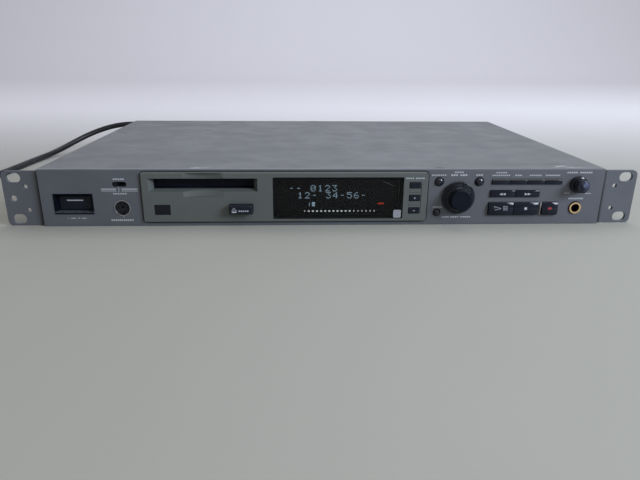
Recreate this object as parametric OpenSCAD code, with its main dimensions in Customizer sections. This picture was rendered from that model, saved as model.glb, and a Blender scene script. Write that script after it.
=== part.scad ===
// Slot-loading minidisc deck, one rack unit high, with its mains cord.
// X runs to the right, Y to the back and Z up. The origin lies on the surface the deck stands on, in the
// middle of the deck's width and depth. Inside at_face(), y is the depth behind the front panel's face,
// and [x, z] places are taken from the middle of the panel and from its bottom edge.

/* [Overall] */
// Width over the rack ears
rack_w = 482.6; // [480:0.1:600]
// Height of the front panel
panel_h = 43.6; // [43.6:0.1:60]
// Depth from the panel's face to the back of the case
body_d = 280; // [230:1:400]

/* [Front panel] */
// Thickness of the panel
panel_t = 3.5; // [2.5:0.1:3.5]
// Chamfer round the panel's face
panel_edge = 0.4; // [0.2:0.1:0.8]
// Depth of the rim behind the panel
rim_d = 6; // [4:0.5:6.5]
// Wall of the rim
rim_wall = 2; // [1.5:0.1:3]

/* [Rack ears] */
// Width of an ear
ear_w = 26.1; // [25:0.1:28]
// Height of an ear
ear_h = 42.2; // [40:0.1:43.4]
// How far the ears lie behind the panel's face
ear_back = 2.8; // [2:0.1:4]
// Thickness of an ear
ear_t = 2.4; // [2:0.1:3]
// Outer radius of the bend between an ear and its side leg
ear_bend = 2.4; // [1:0.1:3]
// Corner radius of an ear
ear_r = 4; // [2:0.5:6]
// Thickness of an ear's side leg
leg_t = 2; // [1.5:0.1:3]
// Length of an ear's side leg
leg_d = 34; // [28:1:60]
// Height of an ear's side leg
leg_h = 34; // [26:1:38]
// Distance of the rack slots' middles from the ear's outer edge
rack_slot_in = 8.75; // [8:0.05:10]
// Distance between the rack slots along Z
slot_gap_z = 31.75; // [28:0.05:34]
// Length of a rack slot
rack_slot_l = 10.4; // [9:0.1:12]
// Width of a rack slot
rack_slot_w = 7.4; // [6.5:0.1:8]
// Diameter of the small holes in an ear
ear_hole_d = 3.4; // [2:0.1:4]
// Distance of the small holes from the rack slots along X
ear_hole_in = 7.9; // [7:0.1:9]
// Distance between the small holes along Z
ear_hole_gap = 18; // [12:1:24]
// Diameter of the extra hole in the left ear
extra_hole_d = 4.8; // [3:0.1:6]
// Distance of the extra hole outward from the rack slots
extra_hole_out = 2.1; // [0:0.1:2.5]

/* [Bezel and disc slot] */
// Bezel's left edge
bezel_x0 = -139; // [-142:0.5:-137]
// Bezel's right edge
bezel_x1 = 76.7; // [74.5:0.1:78]
// Bezel's lower edge
bezel_z0 = 3.2; // [2.5:0.1:4]
// Bezel's upper edge
bezel_z1 = 41.9; // [41.8:0.1:42.1]
// How far the bezel stands out of the panel
bezel_out = 1.8; // [1:0.1:3]
// Depth of the bezel behind the panel's face
bezel_in = 3; // [2.5:0.1:3.4]
// Corner radius of the bezel
bezel_r = 2.8; // [1:0.1:4]
// Chamfer round the bezel's face
bezel_edge = 0.8; // [0.3:0.1:1.2]
// Depth of the recess in the panel that the bezel lies in
recess_d = 1.2; // [0.6:0.1:1.5]
// Gap between the bezel and the recess's wall
recess_gap = 0.9; // [0.3:0.1:1]
// Lip of the bezel on the panel
bezel_lip = 1.1; // [0.8:0.1:2]
// Middle of the disc slot
slot_at = [-92.9, 32.2];
// Width of the slot for the cartridge
slot_w = 73; // [60:0.1:74]
// Height of the slot for the cartridge
slot_h = 6.4; // [6:0.1:6.6]
// How far the slot's flared mouth is wider than its tunnel on each side
mouth_side = 3; // [2:0.05:4]
// Height of the slot's flared mouth
mouth_h = 10.2; // [8.4:0.1:10.6]
// Depth of the flared mouth
mouth_d = 5.3; // [3:0.1:5.4]
// Depth of the tunnel behind the mouth
tunnel_d = 16; // [13.5:0.5:16]
// How much wider and higher the tunnel is than the slot for the cartridge
tunnel_room = [2, 1];
// Wall of the tunnel
tunnel_wall = 1.6; // [1.2:0.1:2]
// Width of the finger scallop
scallop_w = 30; // [20:1:36]
// Height of the finger scallop
scallop_h = 18.4; // [14:0.1:18.6]
// Depth of the finger scallop
scallop_d = 2.6; // [2:0.1:2.8]
// Middle of the remote window
remote_at = [-124.1, 13.2];
// Size of the remote window
remote_size = [11.8, 7.8];
// Distance of the shutter behind the flared mouth
shutter_in = 5.5; // [0.5:0.5:5.5]
// Thickness of the shutter
shutter_t = 0.9; // [0.7:0.1:1.1]
// Radius of the shutter's pins
shutter_pin_r = 0.5; // [0.4:0.1:0.6]
// Middle of the eject button
eject_at = [-65, 14.2];
// Size of the eject button
eject_size = [17.6, 6.8];
// How far the eject button stands out of the bezel
eject_out = 6; // [2:0.1:6.5]

/* [Display] */
// Left edge of the display window
window_x0 = -41; // [-44:0.5:-38]
// Right edge of the display window
window_x1 = 58.1; // [55:0.1:59.5]
// Lower edge of the display window
window_z0 = 5.6; // [5.2:0.1:9]
// Upper edge of the display window
window_z1 = 37.9; // [34:0.1:38.5]
// Thickness of the display window
window_t = 2.6; // [1.5:0.1:3]
// Width of the ledge that the window sits on
window_ledge = 2; // [1.5:0.1:3]
// Thickness of the display tube
tube_t = 5.5; // [4:0.1:6]

/* [Power switch] */
// Middle of the power switch
power_at = [-189.9, 17.5];
// Size of the power switch's frame
power_frame_size = [29, 15.8];
// Size of the power button
power_size = [24, 11];
// How far the frame stands out of the panel
power_frame_out = 0.6; // [0.4:0.1:1.5]
// Depth of the latched button's face behind the panel's face
power_sunk = 3.4; // [2:0.1:4]
// Travel of the power button out of its latch
power_travel = 3.5; // [2:0.1:4]
// Depth of the frame behind the panel's face
power_frame_in = 9; // [8:0.5:11]

/* [Input selector and keyboard socket] */
// Middle of the selector's slot
selector_at = [-154.8, 32.5];
// Length of the selector's slot
selector_l = 10.7; // [9:0.1:12]
// Height of the selector's slot
selector_h = 4; // [3.6:0.1:5]
// Width of the selector's lever
lever_w = 3.4; // [2.5:0.1:4]
// Middle of the keyboard socket
keyboard_at = [-154.2, 14.3];
// Diameter of the keyboard socket
keyboard_d = 12.3; // [11:0.1:13]
// Wall of the keyboard socket's metal ring
keyboard_ring = 0.7; // [0.5:0.1:1]

/* [Buttons] */
// Middles of the small keys beside the display
speed_at = [[66.9, 31.8], [66.9, 21.9], [66.9, 12]];
// Size of a small key beside the display
speed_size = [8.2, 4.6];
// How far a small key stands out
speed_out = 0.6; // [0.3:0.1:1.5]
// Middles of the round buttons
round_at = [[85.5, 34.2], [116.4, 34.2], [85.3, 9.8]];
// Diameters of the round buttons
round_d = [7, 7, 5.6];
// How far the round buttons stand out
round_out = 2.2; // [1:0.1:3]
// Middle of the row of thin keys
thin_at = [153.6, 34.05];
// Size of a thin key
thin_size = [13.35, 4];
// How far the thin keys stand out
thin_out = 1; // [0.5:0.1:2]
// Middle of the two search keys
search_at = [145, 24.7];
// Size of a search key
search_size = [19.05, 5.15];
// How far the search keys stand out
search_out = 1.3; // [0.5:0.1:2]
// Middle of the play and stop keys
play_at = [144.85, 12.85];
// Size of the play key and of the stop key
play_size = [19.25, 10];
// Left edge of the record key
record_x = 167.2; // [167:0.1:170]
// Width of the record key
record_w = 12.5; // [10:0.1:15]
// How far the play, stop and record keys stand out
play_out = 2.4; // [1:0.1:3]
// Gap between keys in one row
key_gap = 0.35; // [0.3:0.05:0.6]
// Travel of the keys
key_travel = 0.5; // [0.3:0.1:0.8]
// Gap round a button in its opening
button_gap = 0.25; // [0.2:0.05:0.4]

/* [Dial and phones controls] */
// Middle of the jog dial
dial_at = [100.8, 21.9];
// Diameter of the jog dial's skirt
dial_d = 25.2; // [20:0.1:26]
// Diameter of the jog dial's grip at its face
grip_d = 15.6; // [12:0.1:18]
// How far the jog dial stands out
dial_out = 11; // [8:0.5:14]
// Travel of the jog dial when it is pressed
dial_travel = 0.5; // [0.3:0.1:0.5]
// Diameter of the dial's and the knob's shafts
shaft_d = 6; // [4:0.5:6]
// Middle of the phones level knob
level_at = [193.7, 31.9];
// Diameter of the level knob's skirt
level_d = 13.3; // [11:0.1:14]
// Diameter of the level knob at its face
level_face_d = 9; // [7:0.1:10]
// How far the level knob stands out
level_out = 9; // [6:0.5:11]
// Middle of the phones socket
phones_at = [194.1, 13.2];
// Diameter of the phones plug's bore
phones_bore = 6.4; // [6.4:0.1:6.6]
// Diameter of the brass bush round the phones bore
phones_bush_d = 9.2; // [8.6:0.1:10]
// Length of the phones bore
phones_l = 31; // [28:0.5:34]

/* [Case] */
// Sheet thickness of the case
sheet = 1.2; // [0.8:0.1:1.4]
// Height of the chassis floor over the surface
floor_gap = 1; // [0.8:0.1:2]
// How far the case stands out beside the panel
case_out = 1; // [0:0.1:1.5]
// Height of the chassis sides
side_h = 30; // [28:1:36]
// Radius of the feet pressed into the floor
foot_r = 7; // [5:0.5:10]
// Distance of the feet from the sides and ends
foot_in = 26; // [20:1:40]
// Diameter of the case screws
screw_d = 3; // [2.5:0.1:4]
// Diameter of the case screws' heads
screw_head_d = 6; // [5:0.1:7]

/* [Rear] */
// Columns of the phono sockets
phono_x = [50, 80, 96];
// Lower row of the phono sockets
phono_z0 = 14; // [12:0.5:16]
// Upper row of the phono sockets
phono_z1 = 29; // [27:0.5:31]
// Diameter of a phono socket's shell
phono_d = 8.3; // [8.2:0.1:8.4]
// How far a phono socket's collar in the rear panel is wider than its shell
phono_collar = 0.6; // [0.3:0.1:1]
// How far a phono socket stands out
phono_out = 9.5; // [8:0.5:11]
// Columns of the optical sockets
optical_x = [8, 25];
// Middle of the control port
port_at = [-45, 21.8];
// Size of the control port's shell
port_size = [17, 9];

/* [Disc drive] */
// Depth of the disc's middle behind the panel's face
disc_y = 54; // [54:1:70]
// Radius of the pickup's lens from the disc's middle, at its inner stop
lens_r = 16; // [15.5:0.1:17]
// Travel of the pickup
sled_travel = 16; // [12:0.5:16]
// Diameter of the pickup's guide rods
rod_d = 3; // [2:0.1:4]
// Distance of the guide rods from the disc's middle
rod_gap = 15; // [13:0.5:17]
// Pitch of the lead screw
screw_pitch = 3; // [1:0.5:4]
// Drop of the cartridge holder when a disc loads
holder_drop = 5; // [4:0.1:5]
// How far the middle of the cartridge holder lies below the middle of the slot's mouth
holder_down = 0.7; // [0.4:0.1:0.9]
// Height of the drive's deck
deck_z = 10; // [9:0.5:11]

/* [Cord] */
// Diameter of the cord
cord_d = 6.2; // [5:0.1:6.4]
// Length of the strain relief outside the case
relief_l = 24; // [20:1:26]
// Distance of the cord's exit from the left side of the case
exit_in = 10; // [9:0.5:14]
// Height of the cord's exit
exit_z = 31; // [24:0.5:33]
// Diameter of the middle of the coil's turns
coil_mid_d = 74; // [74:0.5:80]
// Gap between the turns of the coil
coil_gap = 0.7; // [0.5:0.1:1.5]
// Turns in each of the coil's two layers
coil_turns = 3; // [2:1:4]

/* [Hidden] */
$fn = 64;
slip = 0.1;
run = 0.08;
air = 0.3;
overall_d = dial_out + body_d + phono_out;
face_y = dial_out - overall_d / 2;
ear_x = rack_w / 2 - ear_w;
body_w = 2 * (ear_x - 2 * slip);
panel_w = body_w - 2 * case_out;
ear_mid_z = ear_h / 2;
cover_top = panel_h - 0.2;
floor_z = floor_gap + sheet;
chassis_x = body_w / 2 - sheet - slip;
rim_x = chassis_x - sheet - slip;
rim_z0 = floor_z + slip;
rim_z1 = cover_top - sheet - 2 * slip;
rim_back = panel_t + rim_d;
rear_in = body_d - sheet;
board_t = 1.6;
board_y = 11.5;
board_z = 7;
board_x0 = -52;
board_x1 = 208;
main_at = [[-25, 60], [205, body_d - 6]];
supply_at = [[-205, body_d - 130], [-95, body_d - 18]];
transformer_at = [-57.5, body_d - 64];
screw_r = screw_d / 2;
ear_screws = [[16, ear_mid_z], [28, ear_mid_z]];
cover_screws = [[0.4 * body_d, ear_mid_z], [body_d - 40, ear_mid_z]];
side_screws = concat(ear_screws, cover_screws);
relief_r = 6;
power_body = power_frame_size - [0.8, 0.8];
power_hole = power_body + [0.2, 0.2];
power_mouth = power_frame_size - [1.8, 1.8];
power_switch_y = 16;
lever_shift = (selector_l - lever_w) / 2 - 0.4;
selector_body_y = panel_t + 1.4;
phones_body = [13, 13.4];
phones_body_y = 8;
shaft_end = 9;
plunger_r = 1.4;
panel_bosses = [[-163.5, 24], [-145, 24], [80.5, 22], [119.5, 18], [174, 25], [205, 22]];
bezel_bosses = [[-47.5, 36], [-47.5, 8], [60.5, 37.3]];
scallop_r = (pow(scallop_w / 2, 2) + pow(scallop_d, 2)) / (2 * scallop_d);

skin_y = -bezel_out;
tunnel_size = [slot_w, slot_h] + tunnel_room;
mouth_w = tunnel_size.x + 2 * mouth_side;
mouth_back = skin_y + mouth_d;
bezel_mid = [(bezel_x0 + bezel_x1) / 2, (bezel_z0 + bezel_z1) / 2];
bezel_size = [bezel_x1 - bezel_x0, bezel_z1 - bezel_z0];
window_mid = [(window_x0 + window_x1) / 2, (window_z0 + window_z1) / 2];
window_size = [window_x1 - window_x0, window_z1 - window_z0];
window_seat = skin_y + air + window_t;
flange_t = 1;
flange_lip = 0.8;
stem_size = [4, 3];
switch_y = 9.6;
stem_end = switch_y - key_travel - slip;
pitch_x = thin_size.x + key_gap;
search_pitch = search_size.x + key_gap;
play_pitch = play_size.x + key_gap;
thin_ats = [for (i = [0 : 3]) thin_at + [(i - 1.5) * pitch_x, 0]];
search_ats = [for (i = [0 : 1]) search_at + [(i - 0.5) * search_pitch, 0]];
play_ats = [for (i = [0 : 1]) play_at + [(i - 0.5) * play_pitch, 0]];
record_at = [record_x + record_w / 2, play_at.y];
record_size = [record_w, play_size.y];
bush_d = shaft_d + 3;
slot_x = rack_w / 2 - rack_slot_in;
slot_z = slot_gap_z / 2;
hinge_z = slot_at.y + tunnel_size.y / 2 - shutter_pin_r - 0.15;
hinge_y = mouth_back + shutter_in + shutter_t / 2;
shutter_z0 = slot_at.y - tunnel_size.y / 2 + air;
disc_x = slot_at.x;
holder_z = slot_at.y - holder_down;
spindle_r = 8.5;
spindle_top = 22;
holder_sheet = 1;
holder_w = slot_w + 2 * holder_sheet;
holder_z0 = holder_z - slot_h / 2 - holder_sheet;
holder_z1 = holder_z + slot_h / 2 + holder_sheet;
holder_y0 = disc_y - 36;
holder_y1 = disc_y + 34;
holder_pins_y = [disc_y - 27, disc_y + 31];
holder_pin_r = 1.2;
rod_z = deck_z + 6.5;
sled_x0 = disc_x + lens_r - 5.6;
sled_w = holder_w / 2 + 11.7 - lens_r;
sled_z0 = deck_z + sheet + 1;
sled_z1 = deck_z + 10.8;
worm_y = disc_y + rod_gap + 9;
arm_pivot = [sled_x0 + sled_w - 1.7, holder_z1 + 1.7];
arm_l = sled_w - 0.2;
arm_pin_r = 0.92;
frame_x0 = disc_x - holder_w / 2 - 16.9;
frame_x1 = disc_x + holder_w / 2 + 28.1;
cord_r = cord_d / 2;
exit_at = [exit_in - body_w / 2, exit_z];
turn_step = cord_d + coil_gap;
coil_out_r = coil_mid_d / 2 + coil_turns * turn_step / 2;
coil_in_r = coil_out_r - coil_turns * turn_step;
total_turns = 2 * coil_turns + 0.5;
rings_per_turn = 24;
// The cord's end from the coil to its plug: [length along Y, share of the drop]
TAIL = [[12, 0], [24, 0.35], [36, 0.8], [44, 1], [50.2, 1]];
plug_size = [25, 28, 15];
blade_size = [1.5, 17.5, 6.3];
blade_gap = 12.7;
// The cord's route from its strain relief to its coil: [x from the exit, depth behind the case's back,
// share of the exit's height over the lying cord]
ROUTE = [[0, relief_l, 1], [0, 30, 1], [-2, 38, 1.02], [-8, 46, 1.04], [-18, 51, 1.05], [-30, 52, 1.05],
    [-43, 51, 1.02], [-57, 48, 0.93], [-71, 42, 0.78], [-84, 34, 0.59], [-96, 23, 0.37], [-106, 9, 0.17],
    [-113, -8, 0.05], [-117, -27, 0.01], [-119, -48, 0], [-120, -70, 0], [-121, -92, 0], [-123, -114, 0],
    [-127, -134, 0], [-131, -150, 0], [-132, -162, 0], [-132, -170, 0]];
lying_z = cord_r + 0.1;
CORD_ROUTE = [for (step = ROUTE) [exit_at.x + step.x, body_d + step.y,
    lying_z + step.z * (exit_at.y - lying_z)]];
route_end = CORD_ROUTE[len(CORD_ROUTE) - 1];
coil_mid = [route_end.x - coil_out_r, route_end.y - cord_d];

// ---------------------------------------------------------------- shapes

module at_face() {
    translate([0, face_y, 0]) children();
}

// A block between two corners
module block(low, high) {
    translate(low) cube(high - low);
}

// A flat shape in the panel's plane, drawn as [x, z] and given depth from y0 to y1
module along_y(y0, y1) {
    translate([0, y1, 0]) rotate([90, 0, 0]) linear_extrude(y1 - y0) children();
}

// A flat shape drawn as [y, z] and given width w about x = 0
module along_x(w) {
    translate([-w / 2, 0, 0]) rotate([90, 0, 90]) linear_extrude(w) children();
}

module rod_y(r, at, y0, y1) {
    translate([at.x, y1, at.y]) rotate([90, 0, 0]) cylinder(r = r, h = y1 - y0);
}

module rod_x(r, x0, x1, y, z) {
    translate([x0, y, z]) rotate([0, 90, 0]) cylinder(r = r, h = x1 - x0);
}

module rounded(size, r) {
    square([size.x - 2 * r, size.y], center = true);
    square([size.x, size.y - 2 * r], center = true);
    for (x = [-1, 1], z = [-1, 1])
        translate([x * (size.x / 2 - r), z * (size.y / 2 - r)]) circle(r = r);
}

module obround(l, w) {
    square([l - w, w], center = true);
    for (x = [-1, 1]) translate([x * (l - w) / 2, 0]) circle(d = w);
}

// An opening that narrows from a wide size at y0 to a narrow size at y1
module flare(wide, narrow, y0, y1) {
    intersection() {
        translate([0, 0, -wide.y / 2]) linear_extrude(wide.y)
            polygon([[-wide.x / 2, y0], [wide.x / 2, y0], [narrow.x / 2, y1], [-narrow.x / 2, y1]]);
        along_x(wide.x)
            polygon([[y0, -wide.y / 2], [y0, wide.y / 2], [y1, narrow.y / 2], [y1, -narrow.y / 2]]);
    }
}

// A plate whose front edges are chamfered: y0 is its face and y1 its back
module chamfered_plate(size, y0, y1, edge) {
    intersection() {
        translate([0, 0, -size.y / 2]) linear_extrude(size.y)
            polygon([[-size.x / 2 + edge, y0], [size.x / 2 - edge, y0], [size.x / 2, y0 + edge],
                [size.x / 2, y1], [-size.x / 2, y1], [-size.x / 2, y0 + edge]]);
        along_x(size.x)
            polygon([[y0, -size.y / 2 + edge], [y0, size.y / 2 - edge], [y0 + edge, size.y / 2],
                [y1, size.y / 2], [y1, -size.y / 2], [y0 + edge, -size.y / 2]]);
    }
}

module both_sides() {
    children();
    mirror([1, 0, 0]) children();
}

function wall(size, gap) = [size.x + 2 * gap, size.y + 2 * gap];

// The hidden part of a key: a flange that holds it behind the face at back_y, and a stem to its switch
module key_back(back_y, flange, end_y) {
    along_y(back_y + air, back_y + air + flange_t) square(flange, center = true);
    along_y(back_y + air, end_y) square(stem_size, center = true);
}

module key_at(at) {
    translate([at.x, 0, at.y]) children();
}

// ---------------------------------------------------------------- tubes

function unit(v) = v / norm(v);
function heading(p, i) = unit(p[min(i + 1, len(p) - 1)] - p[max(i - 1, 0)]);
function side_of(t) = unit(cross(t, [0, 0, 1]));
function ring(p, i, r, n) =
    let (t = heading(p, i), s = side_of(t), u = cross(s, t))
    [for (k = [0 : n - 1]) let (a = 360 * (k + 0.5) / n) p[i] + r * (cos(a) * s + sin(a) * u)];

// One closed tube of radius r with n sides along the points p
module tube(p, r, n) {
    last = len(p) - 1;
    points = [for (i = [0 : last]) each ring(p, i, r, n)];
    sides = [for (i = [0 : last - 1], k = [0 : n - 1]) let (a = i * n + k, b = i * n + (k + 1) % n)
        each [[a, b, b + n], [a, b + n, a + n]]];
    caps = [[for (k = [n - 1 : -1 : 0]) k], [for (k = [0 : n - 1]) last * n + k]];
    polyhedron(points, concat(sides, caps));
}

// The coil goes in over its lower layer, climbs in half a turn, and comes out over its upper layer.
function coil_r(t) = t <= coil_turns + 0.25
    ? coil_out_r - turn_step * t
    : coil_in_r + turn_step * (t - coil_turns - 0.5);
function coil_z(t) = route_end.z + turn_step * max(0, min(1, 2 * (t - coil_turns)));
function coil_point(t) = [coil_mid.x + coil_r(t) * cos(360 * t), coil_mid.y - coil_r(t) * sin(360 * t),
    coil_z(t)];
coil_end = coil_point(total_turns);
COIL_PATH = concat([route_end],
    [for (i = [0 : total_turns * rings_per_turn]) coil_point(i / rings_per_turn)],
    [for (step = TAIL) coil_end + [0, step.x, step.y * (plug_size.z / 2 - coil_end.z)]]);
plug_at = COIL_PATH[len(COIL_PATH) - 1];
function path_length(p) = let (steps = [for (i = [1 : len(p) - 1]) norm(p[i] - p[i - 1])])
    steps * [for (step = steps) 1];
// The coil's least gap to itself, between rings more than half a loop apart
coil_clear = min([for (i = [0 : len(COIL_PATH) - 1], j = [i + 14 : 1 : len(COIL_PATH) - 1])
    norm(COIL_PATH[i] - COIL_PATH[j])]) - cord_d;
echo(coil_least_gap = coil_clear, cord_length = path_length(CORD_ROUTE) + path_length(COIL_PATH));

// ---------------------------------------------------------------- case

module base_chassis() {
    color("silver") at_face() difference() {
        union() {
            block([-chassis_x, panel_t + air, floor_gap], [chassis_x, rear_in, floor_z]);
            for (side = [-1, 1]) {
                block([min(side * chassis_x, side * (chassis_x - sheet)), panel_t + air, floor_gap],
                    [max(side * chassis_x, side * (chassis_x - sheet)), rear_in, floor_gap + side_h]);
                block([min(side * chassis_x, side * (chassis_x - 12)), rear_in - sheet, floor_gap],
                    [max(side * chassis_x, side * (chassis_x - 12)), rear_in, floor_gap + side_h - 8]);
                for (y = [foot_in, body_d - foot_in])
                    translate([side * (body_w / 2 - foot_in), y, 0])
                        cylinder(r = foot_r, h = floor_gap + 0.1);
            }
            for (at = concat(board_corners(main_at), board_corners(supply_at)))
                translate([at.x, at.y, floor_gap]) cylinder(r = 3, h = board_z - floor_gap);
        }
        case_holes(chassis_x, sheet);
        for (side = [-1, 1]) rod_y(screw_r + slip, [side * (chassis_x - 6), 16], rear_in - 3, rear_in + 1);
    }
}

// Holes for the screws through both side walls, in a wall of thickness t whose outside lies at x
module case_holes(x, t) {
    for (side = [-1, 1], at = side_screws)
        rod_x(screw_r + slip, side * (x - t / 2) - t, side * (x - t / 2) + t, at.x, at.y);
}

module top_cover() {
    color("darkgray") at_face() difference() {
        block([-body_w / 2, panel_t + 0.2, floor_gap + 0.2], [body_w / 2, body_d, cover_top]);
        block([-body_w / 2 + sheet, panel_t - 1, -1], [body_w / 2 - sheet, body_d + 1, cover_top - sheet]);
        case_holes(body_w / 2, sheet);
    }
}

module rear_panel() {
    color("gray") at_face() difference() {
        block([-body_w / 2 + sheet + slip, rear_in, floor_gap],
            [body_w / 2 - sheet - slip, body_d, rim_z1]);
        for (x = phono_x, z = [phono_z0, phono_z1])
            rod_y(phono_d / 2 + phono_collar + air, [x, z], rear_in - 1, body_d + 1);
        for (x = optical_x, z = [phono_z0]) key_at([x, z])
            along_y(rear_in - 1, body_d + 1) square([10.4, 10.4], center = true);
        key_at(port_at) along_y(rear_in - 1, body_d + 1) square(port_size + [0.6, 0.6], center = true);
        rod_y(relief_r + slip, exit_at, rear_in - 1, body_d + 1);
        for (side = [-1, 1]) rod_y(screw_r + slip, [side * (chassis_x - 6), 16], rear_in - 1, body_d + 1);
    }
}

module rack_ear(side, extra) {
    mid = side * (rack_w / 2 + ear_x) / 2;
    color("dimgray") at_face() difference() {
        union() {
            translate([mid, 0, ear_mid_z]) along_y(ear_back, ear_back + ear_t) {
                rounded([rack_w / 2 - ear_x, ear_h], ear_r);
                translate([-side * ear_r / 2, 0])
                    square([rack_w / 2 - ear_x - ear_r, ear_h], center = true);
            }
            block([min(side * ear_x, side * (ear_x + leg_t)), ear_back + ear_t - 1, ear_mid_z - leg_h / 2],
                [max(side * ear_x, side * (ear_x + leg_t)), leg_d, ear_mid_z + leg_h / 2]);
        }
        for (z = [-1, 1]) {
            translate([side * slot_x, 0, ear_mid_z + z * slot_z])
                along_y(ear_back - 1, ear_back + ear_t + 1) obround(rack_slot_l, rack_slot_w);
            rod_y(ear_hole_d / 2, [side * (slot_x - ear_hole_in), ear_mid_z + z * ear_hole_gap / 2],
                ear_back - 1, ear_back + ear_t + 1);
        }
        if (extra)
            rod_y(extra_hole_d / 2, [side * (slot_x + extra_hole_out), ear_mid_z],
                ear_back - 1, ear_back + ear_t + 1);
        for (at = ear_screws)
            rod_x(screw_r + slip, side * ear_x - leg_t - 1, side * ear_x + leg_t + 1, at.x, at.y);
        difference() {
            translate([side * ear_x, ear_back, ear_mid_z])
                cube([2 * ear_bend, 2 * ear_bend, ear_h + 1], center = true);
            translate([side * (ear_x + ear_bend), ear_back + ear_bend, -1])
                cylinder(r = ear_bend, h = ear_h + 2);
        }
    }
}

// A pan head screw that points along -x, with its head's seat at x = 0
module screw(length) {
    head_r = screw_head_d / 2;
    rotate([0, 90, 0]) rotate_extrude() polygon([[0, -length], [screw_r, -length], [screw_r, 0],
        [head_r, 0], [head_r, 0.9], [head_r - 0.3, 1.4], [head_r - 0.9, 1.8], [0, 2]]);
}

module case_screws() {
    color("silver") at_face() {
        both_sides() {
            for (at = ear_screws) translate([ear_x + leg_t + slip, at.x, at.y]) screw(6);
            for (at = cover_screws) translate([body_w / 2 + slip, at.x, at.y]) screw(5);
        }
        for (side = [-1, 1]) translate([side * (chassis_x - 6), body_d + slip, 16])
            rotate([0, 0, 90]) screw(4);
    }
}

// ---------------------------------------------------------------- front panel

module front_panel() {
    color("dimgray") at_face() difference() {
        union() {
            translate([0, 0, panel_h / 2]) chamfered_plate([panel_w, panel_h], 0, panel_t, panel_edge);
            difference() {
                block([-rim_x, panel_t - 0.1, rim_z0], [rim_x, rim_back, rim_z1]);
                block([rim_wall - rim_x, panel_t - 1, rim_z0 + rim_wall],
                    [rim_x - rim_wall, rim_back + 1, rim_z1 - rim_wall]);
            }
            for (at = panel_bosses) rod_y(2, at, panel_t - 0.1, board_y);
        }
        key_at(bezel_mid) {
            along_y(-1, recess_d) rounded(wall(bezel_size, recess_gap), bezel_r + recess_gap);
            along_y(-1, panel_t + 1) square(wall(bezel_size, slip - bezel_lip), center = true);
        }
        key_at(power_at) along_y(-1, panel_t + 1) square(power_hole, center = true);
        key_at(selector_at) along_y(-1, panel_t + 1) obround(selector_l, selector_h);
        rod_y(keyboard_d / 2 + slip, keyboard_at, -1, panel_t + 1);
        for (i = [0 : 2]) rod_y(round_d[i] / 2 + button_gap, round_at[i], -1, panel_t + 1);
        rod_y(bush_d / 2 + slip, dial_at, -1, panel_t + 1);
        rod_y(bush_d / 2 + slip, level_at, -1, panel_t + 1);
        rod_y(phones_bush_d / 2 + 0.6, phones_at, -1, panel_t + 1);
        key_at(thin_at) along_y(-1, panel_t + 1)
            square(wall([4 * pitch_x - key_gap, thin_size.y], button_gap), center = true);
        key_at(search_at) along_y(-1, panel_t + 1)
            square(wall([2 * search_pitch - key_gap, search_size.y], button_gap), center = true);
        key_at(play_at) along_y(-1, panel_t + 1)
            square(wall([2 * play_pitch - key_gap, play_size.y], button_gap), center = true);
        key_at(record_at) along_y(-1, panel_t + 1) square(wall(record_size, button_gap), center = true);
    }
}

module slot_bezel() {
    color("gray") at_face() difference() {
        union() {
            key_at(bezel_mid) {
                intersection() {
                    chamfered_plate(bezel_size, skin_y, recess_d, bezel_edge);
                    along_y(skin_y - 1, recess_d + 1) rounded(bezel_size, bezel_r);
                }
                along_y(-0.1, bezel_in) square(wall(bezel_size, -bezel_lip), center = true);
            }
            key_at(slot_at) along_y(bezel_in - 0.1, tunnel_d)
                square(wall(tunnel_size, tunnel_wall), center = true);
            for (z = [-1, 1])
                key_at([speed_at[1].x, speed_at[1].y + z * (speed_at[0].y - speed_at[1].y) / 2])
                    along_y(skin_y - 0.4, skin_y + 0.1) square([speed_size.x, 0.9], center = true);
            for (at = bezel_bosses) rod_y(2, at, bezel_in - 0.1, board_y);
        }
        key_at(slot_at) {
            flare([mouth_w, mouth_h], tunnel_size, skin_y, mouth_back);
            along_y(skin_y - 1, tunnel_d + 1) square(tunnel_size, center = true);
        }
        intersection() {
            key_at(slot_at) along_y(skin_y - 1, skin_y + scallop_d + 1)
                square([mouth_w, scallop_h], center = true);
            translate([slot_at.x, skin_y + scallop_d - scallop_r, 0])
                cylinder(r = scallop_r, h = panel_h, $fn = 128);
        }
        rod_x(shutter_pin_r + run, slot_at.x - tunnel_size.x / 2 - 1,
            slot_at.x + tunnel_size.x / 2 + 1, hinge_y, hinge_z);
        key_at(remote_at) along_y(skin_y - 1, bezel_in + 1) square(wall(remote_size, slip), center = true);
        key_at(eject_at) along_y(skin_y - 1, bezel_in + 1)
            square(wall(eject_size, button_gap), center = true);
        for (at = speed_at) key_at(at)
            along_y(skin_y - 1, bezel_in + 1) square(wall(speed_size, button_gap), center = true);
        key_at(window_mid) {
            along_y(skin_y - 1, window_seat) rounded(wall(window_size, slip), 1);
            along_y(skin_y - 1, bezel_in + 1) square(wall(window_size, -window_ledge), center = true);
        }
        key_at([speed_at[1].x + speed_size.x / 2 + 0.7, speed_at[1].y])
            along_y(skin_y - 1, skin_y + 0.4)
            square([0.5, speed_at[0].y - speed_at[2].y + speed_size.y], center = true);
    }
}

module power_frame() {
    color("black") at_face() key_at(power_at) difference() {
        union() {
            chamfered_plate(power_frame_size, -power_frame_out, 0, 0.3);
            along_y(-0.1, power_frame_in) square(power_body, center = true);
        }
        flare(power_mouth, wall(power_size, 0.2), -power_frame_out, power_sunk);
        along_y(-power_frame_out - 1, power_frame_in + 1)
            square(wall(power_size, button_gap), center = true);
    }
}

module keyboard_shell() {
    color("silver") at_face() difference() {
        rod_y(keyboard_d / 2, keyboard_at, -0.5, board_y - 4);
        rod_y(keyboard_d / 2 - keyboard_ring, keyboard_at, -1, board_y);
    }
}

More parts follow.
